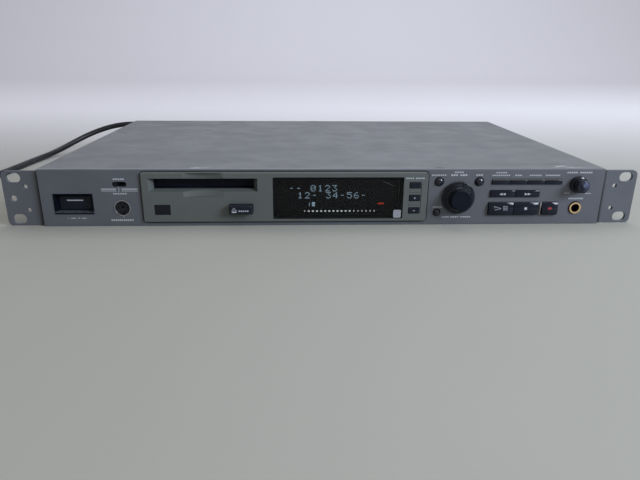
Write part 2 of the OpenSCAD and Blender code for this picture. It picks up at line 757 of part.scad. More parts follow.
module keyboard_insert() {
    pin_r = 3.3;
    color("black") at_face() difference() {
        union() {
            rod_y(keyboard_d / 2 - keyboard_ring - slip / 2, keyboard_at, 0.6, board_y - 4);
            key_at(keyboard_at) along_y(board_y - 4, board_y) square([14, 13], center = true);
        }
        for (a = [60, 0, -60, 120, 180, 240])
            rod_y(0.55, keyboard_at + pin_r * [cos(a), sin(a)], 0, 6);
        key_at(keyboard_at + [0, 0.6]) along_y(0, 6) square([2.2, 1.4], center = true);
        key_at(keyboard_at - [0, 4.8]) along_y(0, 6) square([2, 1.6], center = true);
    }
}

module remote_window() {
    color("black") at_face() key_at(remote_at) {
        along_y(skin_y + 0.1, bezel_in) square(remote_size, center = true);
        along_y(bezel_in, bezel_in + 1) square(wall(remote_size, 1), center = true);
    }
}

module display_window() {
    color("black") at_face() key_at(window_mid)
        along_y(window_seat - window_t, window_seat) rounded(window_size, 0.9);
}

module display_tube() {
    color("darkslategray") at_face() key_at(window_mid)
        along_y(board_y - tube_t, board_y)
            square(wall(window_size, -window_ledge - air), center = true);
}

module phones_bush() {
    color("goldenrod") at_face() difference() {
        union() {
            rod_y(phones_bush_d / 2, phones_at, -1, 0.8);
            rod_y(phones_bush_d / 2 - 0.3, phones_at, 0.7, phones_body_y);
        }
        rod_y(phones_bore / 2, phones_at, -2, phones_body_y + 1);
    }
}

module phones_socket() {
    color("black") at_face() difference() {
        key_at(phones_at) along_y(phones_body_y, phones_l + 2) square(phones_body, center = true);
        rod_y(phones_bore / 2, phones_at, phones_body_y - 1, phones_l - 1);
    }
}

module panel_switches() {
    color("dimgray") at_face() {
        key_at(power_at) difference() {
            union() {
                along_y(power_switch_y, power_switch_y + 28) square([18, 13], center = true);
                translate([0, 0, floor_z - power_at.y]) linear_extrude(power_at.y - floor_z)
                    translate([-6, power_switch_y + 4]) square([12, 20]);
            }
            along_y(power_switch_y - 1, power_switch_y + 6) square([6.4, 4.4], center = true);
        }
        key_at(selector_at) difference() {
            along_y(selector_body_y, board_y) square([16, 7], center = true);
            along_y(selector_body_y - 1, selector_body_y + 3) square([selector_l, 2.4], center = true);
        }
        for (at = concat([eject_at], speed_at, round_at, thin_ats, search_ats, play_ats, [record_at]))
            key_at(at) along_y(switch_y, board_y) square([5, 3.4], center = true);
    }
}

// A turning control's body with the bush that its shaft runs in
module control_body(at, size, back_r) {
    difference() {
        union() {
            key_at(at) along_y(panel_t + 0.2, board_y) square(size, center = true);
            rod_y(bush_d / 2, at, 0, panel_t + 0.3);
        }
        rod_y(shaft_d / 2 + run, at, -1, shaft_end + dial_travel + 0.2);
        rod_y(back_r, at, 0, board_y + 1);
    }
}

module rotary_controls() {
    color("silver") at_face() {
        control_body(dial_at, [12.4, 12.4], plunger_r + run);
        control_body(level_at, [10, 11], 0.5);
    }
}

module control_board() {
    color("darkgreen") at_face() difference() {
        union() {
            block([board_x0, board_y, 4], [board_x1, board_y + board_t, 40]);
            block([eject_at.x - 12, board_y, 4],
                [board_x0 + 1, board_y + board_t, slot_at.y - tunnel_size.y / 2 - 4]);
            block([keyboard_at.x - 12, board_y, 4], [keyboard_at.x + 11, board_y + board_t, 38]);
        }
        key_at(phones_at) along_y(board_y - 1, board_y + board_t + 1)
            square(wall(phones_body, 0.4), center = true);
        for (at = concat(panel_bosses, bezel_bosses)) rod_y(0.8, at, board_y - 1, board_y + board_t + 1);
    }
}

// ---------------------------------------------------------------- buttons and keys

module power_button() {
    color("black") at_face() key_at(power_at) {
        chamfered_plate(power_size, power_sunk, power_frame_in + 2, 0.4);
        along_y(power_frame_in + 2, power_switch_y + 3) square([6, 4], center = true);
    }
}

module selector_lever() {
    color("black") at_face() key_at(selector_at - [lever_shift, 0]) {
        along_y(0.3, panel_t + 1.1) rounded([lever_w, selector_h - 0.6], 1.2);
        along_y(panel_t + air, panel_t + 1.1) square([lever_w + 2.6, selector_h + 1.6], center = true);
        along_y(panel_t + 1, selector_body_y + 2) square([2.2, 2], center = true);
    }
}

module slot_shutter() {
    color("black") at_face() {
        half_w = tunnel_size.x / 2;
        block([slot_at.x - half_w + air, hinge_y - shutter_t / 2, shutter_z0],
            [slot_at.x + half_w - air, hinge_y + shutter_t / 2, hinge_z]);
        rod_x(shutter_pin_r, slot_at.x - half_w - 0.8, slot_at.x + half_w + 0.8, hinge_y, hinge_z);
    }
}

module eject_button() {
    color("black") at_face() key_at(eject_at) {
        chamfered_plate(eject_size, skin_y - eject_out, bezel_in + air + 0.1, 0.8);
        key_back(bezel_in, wall(eject_size, flange_lip), stem_end);
    }
}

module small_key(at) {
    color("black") at_face() key_at(at) {
        chamfered_plate(speed_size, skin_y - speed_out, bezel_in + air + 0.1, 0.3);
        key_back(bezel_in, wall(speed_size, flange_lip), stem_end);
    }
}

// A round button with a domed face
module round_button(i) {
    r = round_d[i] / 2;
    dome_r = (r * r + round_out * round_out) / (2 * round_out);
    dome_a = asin(r / dome_r);
    color("black") at_face() key_at(round_at[i]) {
        rotate([90, 0, 0]) rotate_extrude() polygon(concat(
            [[0, -panel_t - air - 0.1], [r, -panel_t - air - 0.1]],
            [for (k = [10 : -1 : 0]) [dome_r * sin(dome_a * k / 10),
                round_out - dome_r * (1 - cos(dome_a * k / 10))]]));
        along_y(panel_t + air, panel_t + air + flange_t) circle(r = r + flange_lip);
        along_y(panel_t + air, stem_end) square(stem_size, center = true);
    }
}

// A bar key: its face is part of a cylinder along X, with a flat slope along its upper edge
module bar_key(at, size, out, face_r, slope) {
    color("black") at_face() key_at(at) {
        difference() {
            union() {
                intersection() {
                    along_y(-out, 1) square(size, center = true);
                    rod_x(face_r, -size.x / 2 - 1, size.x / 2 + 1, face_r - out, -size.y * 0.08, $fn = 128);
                }
                along_y(0.9, panel_t + air + 0.1) square(size, center = true);
            }
            along_x(size.x + 2) polygon([[-out - 1, size.y / 2 + 1], [-out - 1, size.y / 2 - slope],
                [-out + 0.2, size.y / 2 - slope], [-out + 0.2 + slope, size.y / 2 + 0.3],
                [-out + 0.2 + slope, size.y / 2 + 1]]);
        }
        key_back(panel_t, [size.x, size.y + 2 * flange_lip], stem_end);
    }
}

module thin_key(i) { bar_key(thin_ats[i], thin_size, thin_out, 7, 0.7); }
module search_key(i) { bar_key(search_ats[i], search_size, search_out, 8, 0.6); }
module transport_key(i) { bar_key(play_ats[i], play_size, play_out, 13, 1.1); }

module dial_plunger() {
    color("white") at_face() rod_y(plunger_r, dial_at, shaft_end + 0.05, board_y - dial_travel - 0.1);
}

module jog_dial() {
    r0 = dial_d / 2;
    r1 = grip_d / 2;
    back = dial_travel + 0.2;
    color("black") at_face() translate([dial_at.x, 0, dial_at.y]) rotate([90, 0, 0]) {
        rotate_extrude($fn = 128) polygon([[0, back], [r0 - 0.6, back], [r0, back + 0.5], [r0, back + 1],
            [r0 - 0.5, back + 1.8], [r0 - 1.6, back + 2.4], [r0 - 2.2, back + 2.5], [r0 - 3, back + 3.1],
            [r1 + 1.2, back + 4.3], [r1 + 0.6, back + 5.6], [r1 + 0.4, dial_out - 1.2],
            [r1, dial_out - 0.4], [r1 - 0.6, dial_out - 0.1], [r1 - 1.2, dial_out], [0, dial_out]]);
        translate([0, 0, -shaft_end]) cylinder(d = shaft_d, h = shaft_end + back + 0.1);
    }
}

module level_knob() {
    r0 = level_d / 2;
    r1 = level_face_d / 2;
    back = 0.3;
    color("black") at_face() translate([level_at.x, 0, level_at.y]) rotate([90, 0, 0]) {
        rotate_extrude($fn = 96) polygon([[0, back], [r0 - 0.3, back], [r0, back + 0.4], [r0, back + 1.6],
            [r0 - 0.5, back + 2.3], [r1 + 0.7, back + 3], [r1 + 0.3, level_out - 0.6],
            [r1, level_out - 0.2], [r1 - 0.4, level_out], [0, level_out]]);
        translate([0, 0, -shaft_end]) cylinder(d = shaft_d, h = shaft_end + back + 0.1);
    }
}

// ---------------------------------------------------------------- boards and power

function board_corners(board) = [for (x = [board[0].x + 5, board[1].x - 5],
    y = [board[0].y + 5, board[1].y - 5]) [x, y]];

module board(at) {
    difference() {
        block([at[0].x, at[0].y, board_z], [at[1].x, at[1].y, board_z + board_t]);
        for (hole = board_corners(at)) translate([hole.x, hole.y, 0]) cylinder(r = 1.6, h = board_z + 5);
    }
}

module main_board() {
    color("darkgreen") at_face() board(main_at);
}

module supply_board() {
    color("tan") at_face() board(supply_at);
}

module board_parts() {
    top = board_z + board_t;
    color("dimgray") at_face() {
        for (x = [10, 60, 115, 165]) translate([x, main_at[0].y + 50, top])
            translate([-9, -9, 0]) cube([18, 18, 2.6]);
        for (x = [0, 25, 130, 150, 170], y = [25, 90]) translate([x, main_at[0].y + y, top])
            cylinder(r = 4, h = 11);
        translate([30, main_at[0].y + 95, top]) cube([70, 4, 22]);
        for (at = [[25, 30, 9, 25], [50, 30, 9, 25], [80, 30, 6.5, 20], [25, 80, 6.5, 20], [45, 85, 5, 14]])
            translate([supply_at[0].x + at[0], supply_at[0].y + at[1], top]) cylinder(r = at[2], h = at[3]);
        translate([supply_at[0].x + 60, supply_at[0].y + 60, top]) cube([40, 4, 24]);
    }
}

module transformer() {
    color("sienna") at_face() translate([transformer_at.x, transformer_at.y, floor_z]) {
        translate([-32, -7, 0]) cube([64, 14, 4]);
        translate([-27, -11, 4]) cube([54, 22, 32]);
        translate([-20, -20, 8]) cube([40, 40, 24]);
    }
}

// ---------------------------------------------------------------- disc drive

module drive_frame() {
    deck_top = deck_z + sheet;
    color("silver") at_face() difference() {
        union() {
            block([frame_x0, disc_y - 39, deck_z], [frame_x1, disc_y + 56, deck_top]);
            for (x = [frame_x0 + 6, frame_x1 - 6], y = [disc_y - 30, disc_y + 48])
                translate([x, y, floor_z]) cylinder(r = 3, h = deck_z - floor_z + 0.1);
            for (side = [-1, 1], y = holder_pins_y)
                translate([disc_x + side * (holder_w / 2 + 2.8) - 0.8, y - 5, deck_top - 0.1])
                    cube([1.6, 10, holder_z + 4 - deck_top]);
            for (x = [disc_x - 12.5, frame_x1 - 4], y = [-1, 1])
                translate([x, disc_y + y * rod_gap - 3, deck_top - 0.1]) cube([3, 6, rod_z + 3 - deck_top]);
            translate([disc_x - 7.4, worm_y - 3, deck_top - 0.1]) cube([3, 6, rod_z + 3 - deck_top]);
        }
        for (side = [-1, 1], y = holder_pins_y)
            translate([disc_x + side * (holder_w / 2 + 2.8) - 2, y - holder_pin_r - run,
                holder_z - holder_drop - holder_pin_r - run])
                cube([4, 2 * (holder_pin_r + run), holder_drop + 2 * (holder_pin_r + run)]);
        for (y = [-1, 1]) rod_x(rod_d / 2 + run, frame_x0, frame_x1, disc_y + y * rod_gap, rod_z);
        rod_x(rod_d / 2 + run, frame_x0, disc_x, worm_y, rod_z);
    }
}

module guide_rods() {
    color("silver") at_face() for (y = [-1, 1])
        rod_x(rod_d / 2, disc_x - 12.5, frame_x1 - 1, disc_y + y * rod_gap, rod_z);
}

module drive_motors() {
    deck_top = deck_z + sheet;
    color("gray") at_face() {
        difference() {
            translate([disc_x, disc_y, deck_top]) cylinder(r = spindle_r, h = spindle_top - deck_top);
            translate([disc_x, disc_y, deck_top + 1]) cylinder(r = 1 + run, h = spindle_top);
        }
        difference() {
            rod_x(5.2, frame_x1 - 17, frame_x1 - 4, worm_y, rod_z);
            rod_x(1 + run, frame_x1 - 18, frame_x1 - 14, worm_y, rod_z);
        }
        translate([frame_x0 + 7, disc_y + 10, deck_top]) cylinder(r = 5, h = 14);
    }
}

module turntable() {
    color("white") at_face() translate([disc_x, disc_y, 0]) {
        translate([0, 0, spindle_top + air]) cylinder(r = 6, h = 2);
        translate([0, 0, deck_z + 4]) cylinder(r = 1, h = spindle_top - deck_z - 3);
    }
}

module pickup_sled() {
    right = sled_x0 + sled_w;
    color("dimgray") at_face() difference() {
        union() {
            block([sled_x0, disc_y - rod_gap - 3, sled_z0], [right, disc_y + rod_gap + 3, sled_z1]);
            translate([disc_x + lens_r, disc_y, sled_z1 - 0.1]) cylinder(r = 3, h = 0.8);
            block([sled_x0, disc_y + rod_gap + 2.9, rod_z - 2.5], [sled_x0 + 6, worm_y + 2.5, rod_z + 2.5]);
            for (y = [-1, 1]) block([right - 3.4, disc_y + 7 * y - 1, sled_z1 - 0.1],
                [right, disc_y + 7 * y + 1, arm_pivot.y + 1.7]);
        }
        for (y = [-1, 1]) rod_x(rod_d / 2 + run, sled_x0 - 1, right + 1, disc_y + y * rod_gap, rod_z);
        rod_x(rod_d / 2 + run, sled_x0 - 1, sled_x0 + 7, worm_y, rod_z);
        rod_y(arm_pin_r + run, arm_pivot, disc_y - 9, disc_y + 9);
    }
}

module lead_screw() {
    color("silver") at_face() {
        rod_x(rod_d / 2, disc_x - 7.4, frame_x1 - 17.6, worm_y, rod_z);
        rod_x(1, frame_x1 - 17.7, frame_x1 - 14.4, worm_y, rod_z);
    }
}

module cartridge_holder() {
    color("lightgray") at_face() {
        difference() {
            block([disc_x - holder_w / 2, holder_y0, holder_z0],
                [disc_x + holder_w / 2, holder_y1, holder_z1]);
            block([disc_x - slot_w / 2, holder_y0 - 1, holder_z0 + holder_sheet],
                [disc_x + slot_w / 2, holder_y1 + 1, holder_z1 - holder_sheet]);
            block([disc_x - slot_w / 2 + 5, holder_y0 - 1, holder_z0 - 1],
                [disc_x + slot_w / 2 - 5, holder_y1 + 1, holder_z0 + holder_sheet + 1]);
            block([disc_x + 6, disc_y - 6, holder_z1 - 2],
                [disc_x + slot_w / 2 - 3, disc_y + 6, holder_z1 + 1]);
        }
        for (y = holder_pins_y) {
            rod_x(holder_pin_r, disc_x - holder_w / 2 - 3.4, disc_x - holder_w / 2 + 0.2, y, holder_z);
            rod_x(holder_pin_r, disc_x + holder_w / 2 - 0.2, disc_x + holder_w / 2 + 3.4, y, holder_z);
        }
    }
}

module head_arm() {
    color("silver") at_face() {
        rod_y(1.9, arm_pivot, disc_y - 5.6, disc_y + 5.6);
        rod_y(arm_pin_r, arm_pivot, disc_y - 8, disc_y + 8);
        block([arm_pivot.x - arm_l, disc_y - 4, arm_pivot.y - 0.7],
            [arm_pivot.x, disc_y + 4, arm_pivot.y + 0.7]);
        block([arm_pivot.x - arm_l + 2, disc_y - 4, holder_z1 + air],
            [arm_pivot.x - arm_l + 11, disc_y + 4, arm_pivot.y - 0.6]);
    }
}

// ---------------------------------------------------------------- back

module audio_sockets() {
    color("black") at_face() for (x = phono_x) {
        block([x - 7, rear_in - 14, board_z + board_t], [x + 7, rear_in, phono_z1 + 7]);
        for (z = [phono_z0, phono_z1]) difference() {
            union() {
                rod_y(phono_d / 2 + phono_collar, [x, z], rear_in - 0.1, body_d);
                rod_y(phono_d / 2, [x, z], body_d - 0.1, body_d + phono_out);
            }
            rod_y(1.7, [x, z], body_d, body_d + phono_out + 1);
        }
    }
}

module optical_sockets() {
    color("black") at_face() for (x = optical_x) key_at([x, phono_z0]) difference() {
        along_y(rear_in - 13, body_d + 1) square([10, 10], center = true);
        along_y(body_d + 0.5, body_d + 2) square([7, 7], center = true);
    }
}

module control_port() {
    color("silver") at_face() key_at(port_at) {
        along_y(rear_in - 10, rear_in) square([20, 12], center = true);
        along_y(rear_in - 0.1, body_d + 6) rounded(port_size, 1.5);
        along_y(body_d, body_d + 1) square([31, 12.5], center = true);
        for (x = [-12.5, 12.5]) rod_y(2.3, [x, 0], body_d, body_d + 5);
    }
}

// ---------------------------------------------------------------- cord

module cord_relief() {
    color("black") at_face() translate([exit_at.x, 0, exit_at.y]) rotate([-90, 0, 0])
        rotate_extrude() polygon([[0, rear_in - 6], [relief_r + 1.5, rear_in - 6],
            [relief_r + 1.5, rear_in], [relief_r, rear_in], [relief_r, body_d + 1.5],
            [relief_r - 0.6, body_d + 2.5],
            [cord_r + 0.9, body_d + relief_l], [0, body_d + relief_l]]);
}

module power_cord() {
    color("black") at_face() tube(CORD_ROUTE, cord_r, 8);
}

module cord_coil() {
    color("black") at_face() tube(COIL_PATH, cord_r, 6);
}

module cord_plug() {
    grip = 14;
    color("black") at_face() translate(plug_at) {
        rotate([-90, 0, 0]) cylinder(r1 = cord_r + 0.5, r2 = plug_size.z / 2 - 1.5, h = grip + 0.1);
        translate([-plug_size.x / 2, grip, -plug_size.z / 2]) cube(plug_size);
        for (side = [-1, 1])
            translate([side * blade_gap / 2 - blade_size.x / 2, grip + plug_size.y - 0.1,
                -blade_size.z / 2])
                cube([blade_size.x, blade_size.y + 0.1, blade_size.z]);
    }
}

base_chassis();
top_cover();
rear_panel();
front_panel();
slot_bezel();
rack_ear(-1, true);  // rack_ear_left
rack_ear(1, false);  // rack_ear_right
case_screws();
power_frame();
keyboard_shell();
keyboard_insert();
remote_window();
display_window();
display_tube();
phones_bush();
phones_socket();
panel_switches();
rotary_controls();
control_board();
main_board();
board_parts();
supply_board();
transformer();
drive_frame();
guide_rods();
drive_motors();
audio_sockets();
optical_sockets();
control_port();
cord_relief();
power_cord();
cord_coil();
cord_plug();
power_button();
selector_lever();
slot_shutter();
eject_button();
small_key(speed_at[0]);  // speed_key
small_key(speed_at[1]);  // speed_up_key
small_key(speed_at[2]);  // speed_down_key
round_button(0);  // menu_button
round_button(1);  // enter_button
round_button(2);  // clear_button
dial_plunger();
jog_dial();
thin_key(0);  // display_key
thin_key(1);  // time_key
thin_key(2);  // locate_key
thin_key(3);  // cue_key
search_key(0);  // rewind_key
search_key(1);  // forward_key
transport_key(0);  // play_key
transport_key(1);  // stop_key
bar_key(record_at, record_size, play_out, 13, 1.1);  // record_key
level_knob();
turntable();
pickup_sled();
lead_screw();
cartridge_holder();
head_arm();
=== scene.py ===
"""Looks for a one-unit disc deck, made as a Blender add-on: one operator for each piece or group of pieces.

Lengths written as plain numbers are millimetres, in the panel's own frame: x from the panel's middle, depth
behind its face, z from the surface that the deck stands on. Mesh data is in metres, in the frame's axes.
"""

import math

import bmesh
import bpy
import numpy as np
from mathutils import Matrix, Vector


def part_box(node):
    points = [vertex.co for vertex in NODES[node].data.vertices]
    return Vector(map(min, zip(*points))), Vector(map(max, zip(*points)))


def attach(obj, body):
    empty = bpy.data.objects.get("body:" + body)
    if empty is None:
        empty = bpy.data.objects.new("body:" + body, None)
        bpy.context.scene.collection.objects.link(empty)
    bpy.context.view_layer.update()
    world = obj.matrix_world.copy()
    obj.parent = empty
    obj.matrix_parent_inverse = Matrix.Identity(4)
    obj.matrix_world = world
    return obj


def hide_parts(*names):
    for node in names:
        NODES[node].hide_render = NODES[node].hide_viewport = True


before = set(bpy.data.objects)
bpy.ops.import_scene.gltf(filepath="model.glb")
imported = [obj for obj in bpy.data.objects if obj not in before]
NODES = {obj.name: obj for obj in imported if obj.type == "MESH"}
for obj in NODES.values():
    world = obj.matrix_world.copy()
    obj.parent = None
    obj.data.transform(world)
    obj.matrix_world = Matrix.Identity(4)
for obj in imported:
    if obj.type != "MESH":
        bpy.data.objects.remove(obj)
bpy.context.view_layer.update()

bl_info = {
    "name": "Disc Deck",
    "version": (1, 0, 0),
    "blender": (4, 5, 0),
    "location": "View3D > Sidebar > Deck",
    "description": "Builds the looks of a rack disc deck round its fixed frame",
    "category": "Add Mesh",
}

MM = 0.001
FACE_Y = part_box("front_panel")[0].y

# Camera: place in the panel's frame, then its turns in radians, and its focal length over the frame's width
CAMERA_AT = (-24.6, -409.2, 131.8)
CAMERA_YAW, CAMERA_PITCH, CAMERA_ROLL = 0.0477, 0.3382, 0.0093
FOCAL_SHARE = 555.6 / 640


def depths_of(node):
    """How far a node's front and back lie behind the panel's face, in millimetres."""
    return [(corner.y - FACE_Y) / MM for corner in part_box(node)]


def middle_of(node):
    """The x and z of a node's middle, in millimetres."""
    lo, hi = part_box(node)
    return (lo.x + hi.x) / 2 / MM, (lo.z + hi.z) / 2 / MM


def half_of(node):
    """Half of a node's width and of its height, in millimetres."""
    lo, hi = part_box(node)
    return (hi.x - lo.x) / 2 / MM, (hi.z - lo.z) / 2 / MM


BACK = depths_of("rear_panel")[1]


# ---------------------------------------------------------------- settings


class DeckSettings(bpy.types.PropertyGroup):
    """The colours and sizes that a user may want to change."""

    cover: bpy.props.FloatVectorProperty(
        name="Cover", description="Colour of the case's paint", subtype="COLOR",
        default=(0.124, 0.130, 0.141))
    panel: bpy.props.FloatVectorProperty(
        name="Panel", description="Colour of the front panel's paint", subtype="COLOR",
        default=(0.078, 0.083, 0.099))
    bezel: bpy.props.FloatVectorProperty(
        name="Bezel", description="Colour of the moulded bezel", subtype="COLOR",
        default=(0.077, 0.086, 0.084))
    black: bpy.props.FloatVectorProperty(
        name="Keys", description="Colour of the keys and knobs", subtype="COLOR",
        default=(0.0065, 0.0085, 0.016))
    print_colour: bpy.props.FloatVectorProperty(
        name="Print", description="Colour of the printed marks", subtype="COLOR", default=(0.36, 0.37, 0.41))
    lit: bpy.props.FloatVectorProperty(
        name="Lit dots", description="Colour of the display's lit dots", subtype="COLOR",
        default=(0.40, 0.58, 0.72))
    lit_strength: bpy.props.FloatProperty(
        name="Glow", description="Strength of the display's lit dots", default=1.45, min=0, max=20)
    dash: bpy.props.FloatProperty(
        name="Dash height", description="Height of a printed dash", default=0.0012, min=0.0003, max=0.002,
        unit="LENGTH")
    lamp: bpy.props.FloatProperty(
        name="Lamp", description="Power that each lamp takes its share of", default=20, min=0,
        unit="POWER")


def settings():
    """The scene's settings for the deck."""
    return bpy.context.scene.deck_settings


# ---------------------------------------------------------------- meshes


def in_frame(points):
    """Points in millimetres, in the panel's frame, become metres in the frame's axes."""
    points = np.asarray(points, float).reshape(-1, 3)
    return points * MM + np.array([0.0, FACE_Y, 0.0])


def grid_faces(rows, cols, around_rows=False, around_cols=False):
    """Quads of a grid of rows x cols points; a direction that goes around joins its end to its start."""
    i = np.arange(rows if around_rows else rows - 1)
    j = np.arange(cols if around_cols else cols - 1)
    i, j = (a.ravel() for a in np.meshgrid(i, j, indexing="ij"))
    i2, j2 = (i + 1) % rows, (j + 1) % cols
    return np.stack([i * cols + j, i * cols + j2, i2 * cols + j2, i2 * cols + j], axis=1)


def new_piece(name, parts, material, body):
    """One object from a list of (points in millimetres, faces), with its finish, body and material slot."""
    faces, start = [], 0
    for points, part_faces in parts:
        faces += [[start + k for k in face] for face in part_faces]
        start += len(points)
    mesh = bpy.data.meshes.new(name)
    mesh.from_pydata(in_frame(np.concatenate([points for points, _ in parts])).tolist(), [], faces)
    mesh.materials.append(material)
    mesh.update()
    piece = bpy.data.objects.new(name, mesh)
    bpy.context.scene.collection.objects.link(piece)
    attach(piece, body)
    return piece


def build(name, parts, material, body, smooth=True, sharp=None):
    """A closed piece: doubled points are merged, faces look outwards, edges over an angle stay sharp."""
    piece = new_piece(name, parts, material, body)
    piece.data.polygons.foreach_set("use_smooth", np.full(len(piece.data.polygons), smooth))
    tidy_normals(piece)
    if sharp:
        sharp_edges(piece, sharp)
    return piece


def tidy_normals(piece):
    """Merges doubled points and turns every closed part's faces outwards."""
    shape = bmesh.new()
    shape.from_mesh(piece.data)
    bmesh.ops.remove_doubles(shape, verts=shape.verts, dist=2e-6)
    bmesh.ops.dissolve_degenerate(shape, edges=shape.edges, dist=1e-7)
    bmesh.ops.recalc_face_normals(shape, faces=shape.faces)
    shape.to_mesh(piece.data)
    shape.free()


def sharp_edges(piece, angle):
    """Shades smooth, but keeps edges sharper than the angle (in degrees)."""
    shape = bmesh.new()
    shape.from_mesh(piece.data)
    for edge in shape.edges:
        edge.smooth = len(edge.link_faces) == 2 and edge.calc_face_angle(0) < math.radians(angle)
    shape.to_mesh(piece.data)
    shape.free()


def lathe(at, profile, steps=64):
    """A profile of [radius, place on the axis] turned round it: (r cos a, s, r sin a), with closed ends."""
    profile = np.asarray(profile, float)
    angle = np.linspace(0, 2 * np.pi, steps, endpoint=False)
    r, s = profile[:, 0][:, None], profile[:, 1][:, None] + 0 * angle
    side, up = r * np.cos(angle), r * np.sin(angle)
    points = np.stack((side, s, up), axis=-1).reshape(-1, 3) + np.array(at, float)
    faces = grid_faces(len(profile), steps, around_cols=True).tolist()
    last = (len(profile) - 1) * steps
    if profile[0, 0] > 0:
        faces.append(list(range(steps)))
    if profile[-1, 0] > 0:
        faces.append(list(range(last + steps - 1, last - 1, -1)))
    return points, faces


def arc(centre, r, start, end, steps=8):
    """Points of an arc round a centre, from one angle to another, in degrees."""
    a = np.radians(np.linspace(start, end, steps))
    return [[centre[0] + r * c, centre[1] + r * s] for c, s in zip(np.cos(a), np.sin(a))]


def superellipse(half_w, half_h, power, steps=48):
    """The outline |x/w|^n + |z/h|^n = 1 as points, between an ellipse (n = 2) and a box."""
    a = np.linspace(0, 2 * np.pi, steps, endpoint=False)
    c, s = np.cos(a), np.sin(a)
    return np.stack([half_w * np.sign(c) * np.abs(c) ** (2 / power),
                     half_h * np.sign(s) * np.abs(s) ** (2 / power)], 1)


def loft(outlines, places, at):
    """Outlines of the same number of points, set one after another in depth, and closed at both ends."""
    steps = len(outlines[0])
    points = []
    for outline, place in zip(outlines, places):
        a, b = np.asarray(outline)[:, 0], np.asarray(outline)[:, 1]
        s = np.full(steps, float(place))
        points.append(np.stack((a, s, b), 1) + np.array(at, float))
    faces = grid_faces(len(outlines), steps, around_cols=True).tolist()
    last = (len(outlines) - 1) * steps
    faces.append(list(range(steps)))
    faces.append(list(range(last + steps - 1, last - 1, -1)))
    return np.concatenate(points), faces


def flat(y):
    """A face of the panel at one depth, as a function of x and z."""
    return lambda x, z: np.full(np.shape(x), float(y))


def patch(corners, face, n=6, lift=0.04):
    """A printed patch: the corners' bilinear mix on an n x n grid of (u, v), laid just off a face."""
    u, v = np.meshgrid(np.linspace(0, 1, n), np.linspace(0, 1, n), indexing="ij")
    a, b, c, d = (np.asarray(p, float) for p in corners)
    u, v = u[..., None], v[..., None]
    xz = (a * (1 - u) + b * u) * (1 - v) + (d * (1 - u) + c * u) * v
    x, z = xz[..., 0], xz[..., 1]
    points = np.stack([x, face(x, z) - lift, z], -1).reshape(-1, 3)
    return points, grid_faces(n, n).tolist()


def bar(x0, x1, z0, z1, face, n=3, lift=0.04):
    """A printed bar between two x and two z."""
    return patch([[x0, z0], [x1, z0], [x1, z1], [x0, z1]], face, n, lift)


def triangle(tip, base_a, base_b, face):
    """A printed triangle: a patch with two of its corners at the tip."""
    return patch([tip, base_a, base_b, tip], face, 5)


def ellipse_mark(at, half_w, half_h, face, steps=32):
    """A printed ellipse: (k w cos a, k h sin a) for k from near 0 to 1, laid on a face."""
    a = np.linspace(0, 2 * np.pi, steps, endpoint=False)
    k = np.linspace(0.01, 1, 5)[:, None]
    x, z = at[0] + k * half_w * np.cos(a), at[1] + k * half_h * np.sin(a)
    points = np.stack([x, face(x, z) - 0.04, z], -1).reshape(-1, 3)
    return points, grid_faces(5, steps, around_cols=True).tolist()


def marks(name, parts, material, body):
    """Flat printed marks joined as one piece; each one's faces are turned to the front."""
    turned = []
    for p, faces in parts:
        total = sum(np.cross(p[q[1]] - p[q[0]], p[q[2]] - p[q[0]])[1] for q in faces)
        turned.append((p, [q[::-1] for q in faces] if total > 0 else faces))
    return new_piece(name, turned, material, body)


# ---------------------------------------------------------------- finishes


def add(tree, kind, inputs=None, **options):
    """A shader node with its options, and inputs that are values or other nodes' sockets."""
    node = tree.nodes.new("ShaderNode" + kind)
    for key, value in options.items():
        setattr(node, key, value)
    for key, value in (inputs or {}).items():
        if isinstance(value, bpy.types.NodeSocket):
            tree.links.new(value, node.inputs[key])
        else:
            node.inputs[key].default_value = value
    return node


def noise(tree, scale, detail=3.0, stretch=(1, 1, 1)):
    """Noise over the piece's own coordinates; stretch pulls it along an axis."""
    place = add(tree, "TexCoord").outputs["Object"]
    if stretch != (1, 1, 1):
        place = add(tree, "Mapping", {"Vector": place, "Scale": stretch}).outputs["Vector"]
    return add(tree, "TexNoise", {"Vector": place, "Scale": scale, "Detail": detail}).outputs["Fac"]


def between(tree, fac, low, high, at_low=0.35, at_high=0.65):
    """A socket that runs from low to high as fac runs between two values."""
    return add(tree, "MapRange", {"Value": fac, "From Min": at_low, "From Max": at_high, "To Min": low,
                                  "To Max": high}).outputs["Result"]


def mixed(tree, fac, a, b):
    """A colour that runs from a to b as fac runs from 0 to 1."""
    node = add(tree, "Mix", data_type="RGBA")
    for key, value in (("Factor", fac), ("A", a), ("B", b)):
        socket = next(s for s in node.inputs if s.name == key and s.enabled)
        if isinstance(value, bpy.types.NodeSocket):
            tree.links.new(value, socket)
        else:
            socket.default_value = value
    return next(s for s in node.outputs if s.enabled)


def rgba(colour, k=1.0):
    """A colour made k times as bright, with an alpha of 1."""
    return (*[min(1.0, c * k) for c in colour], 1.0)


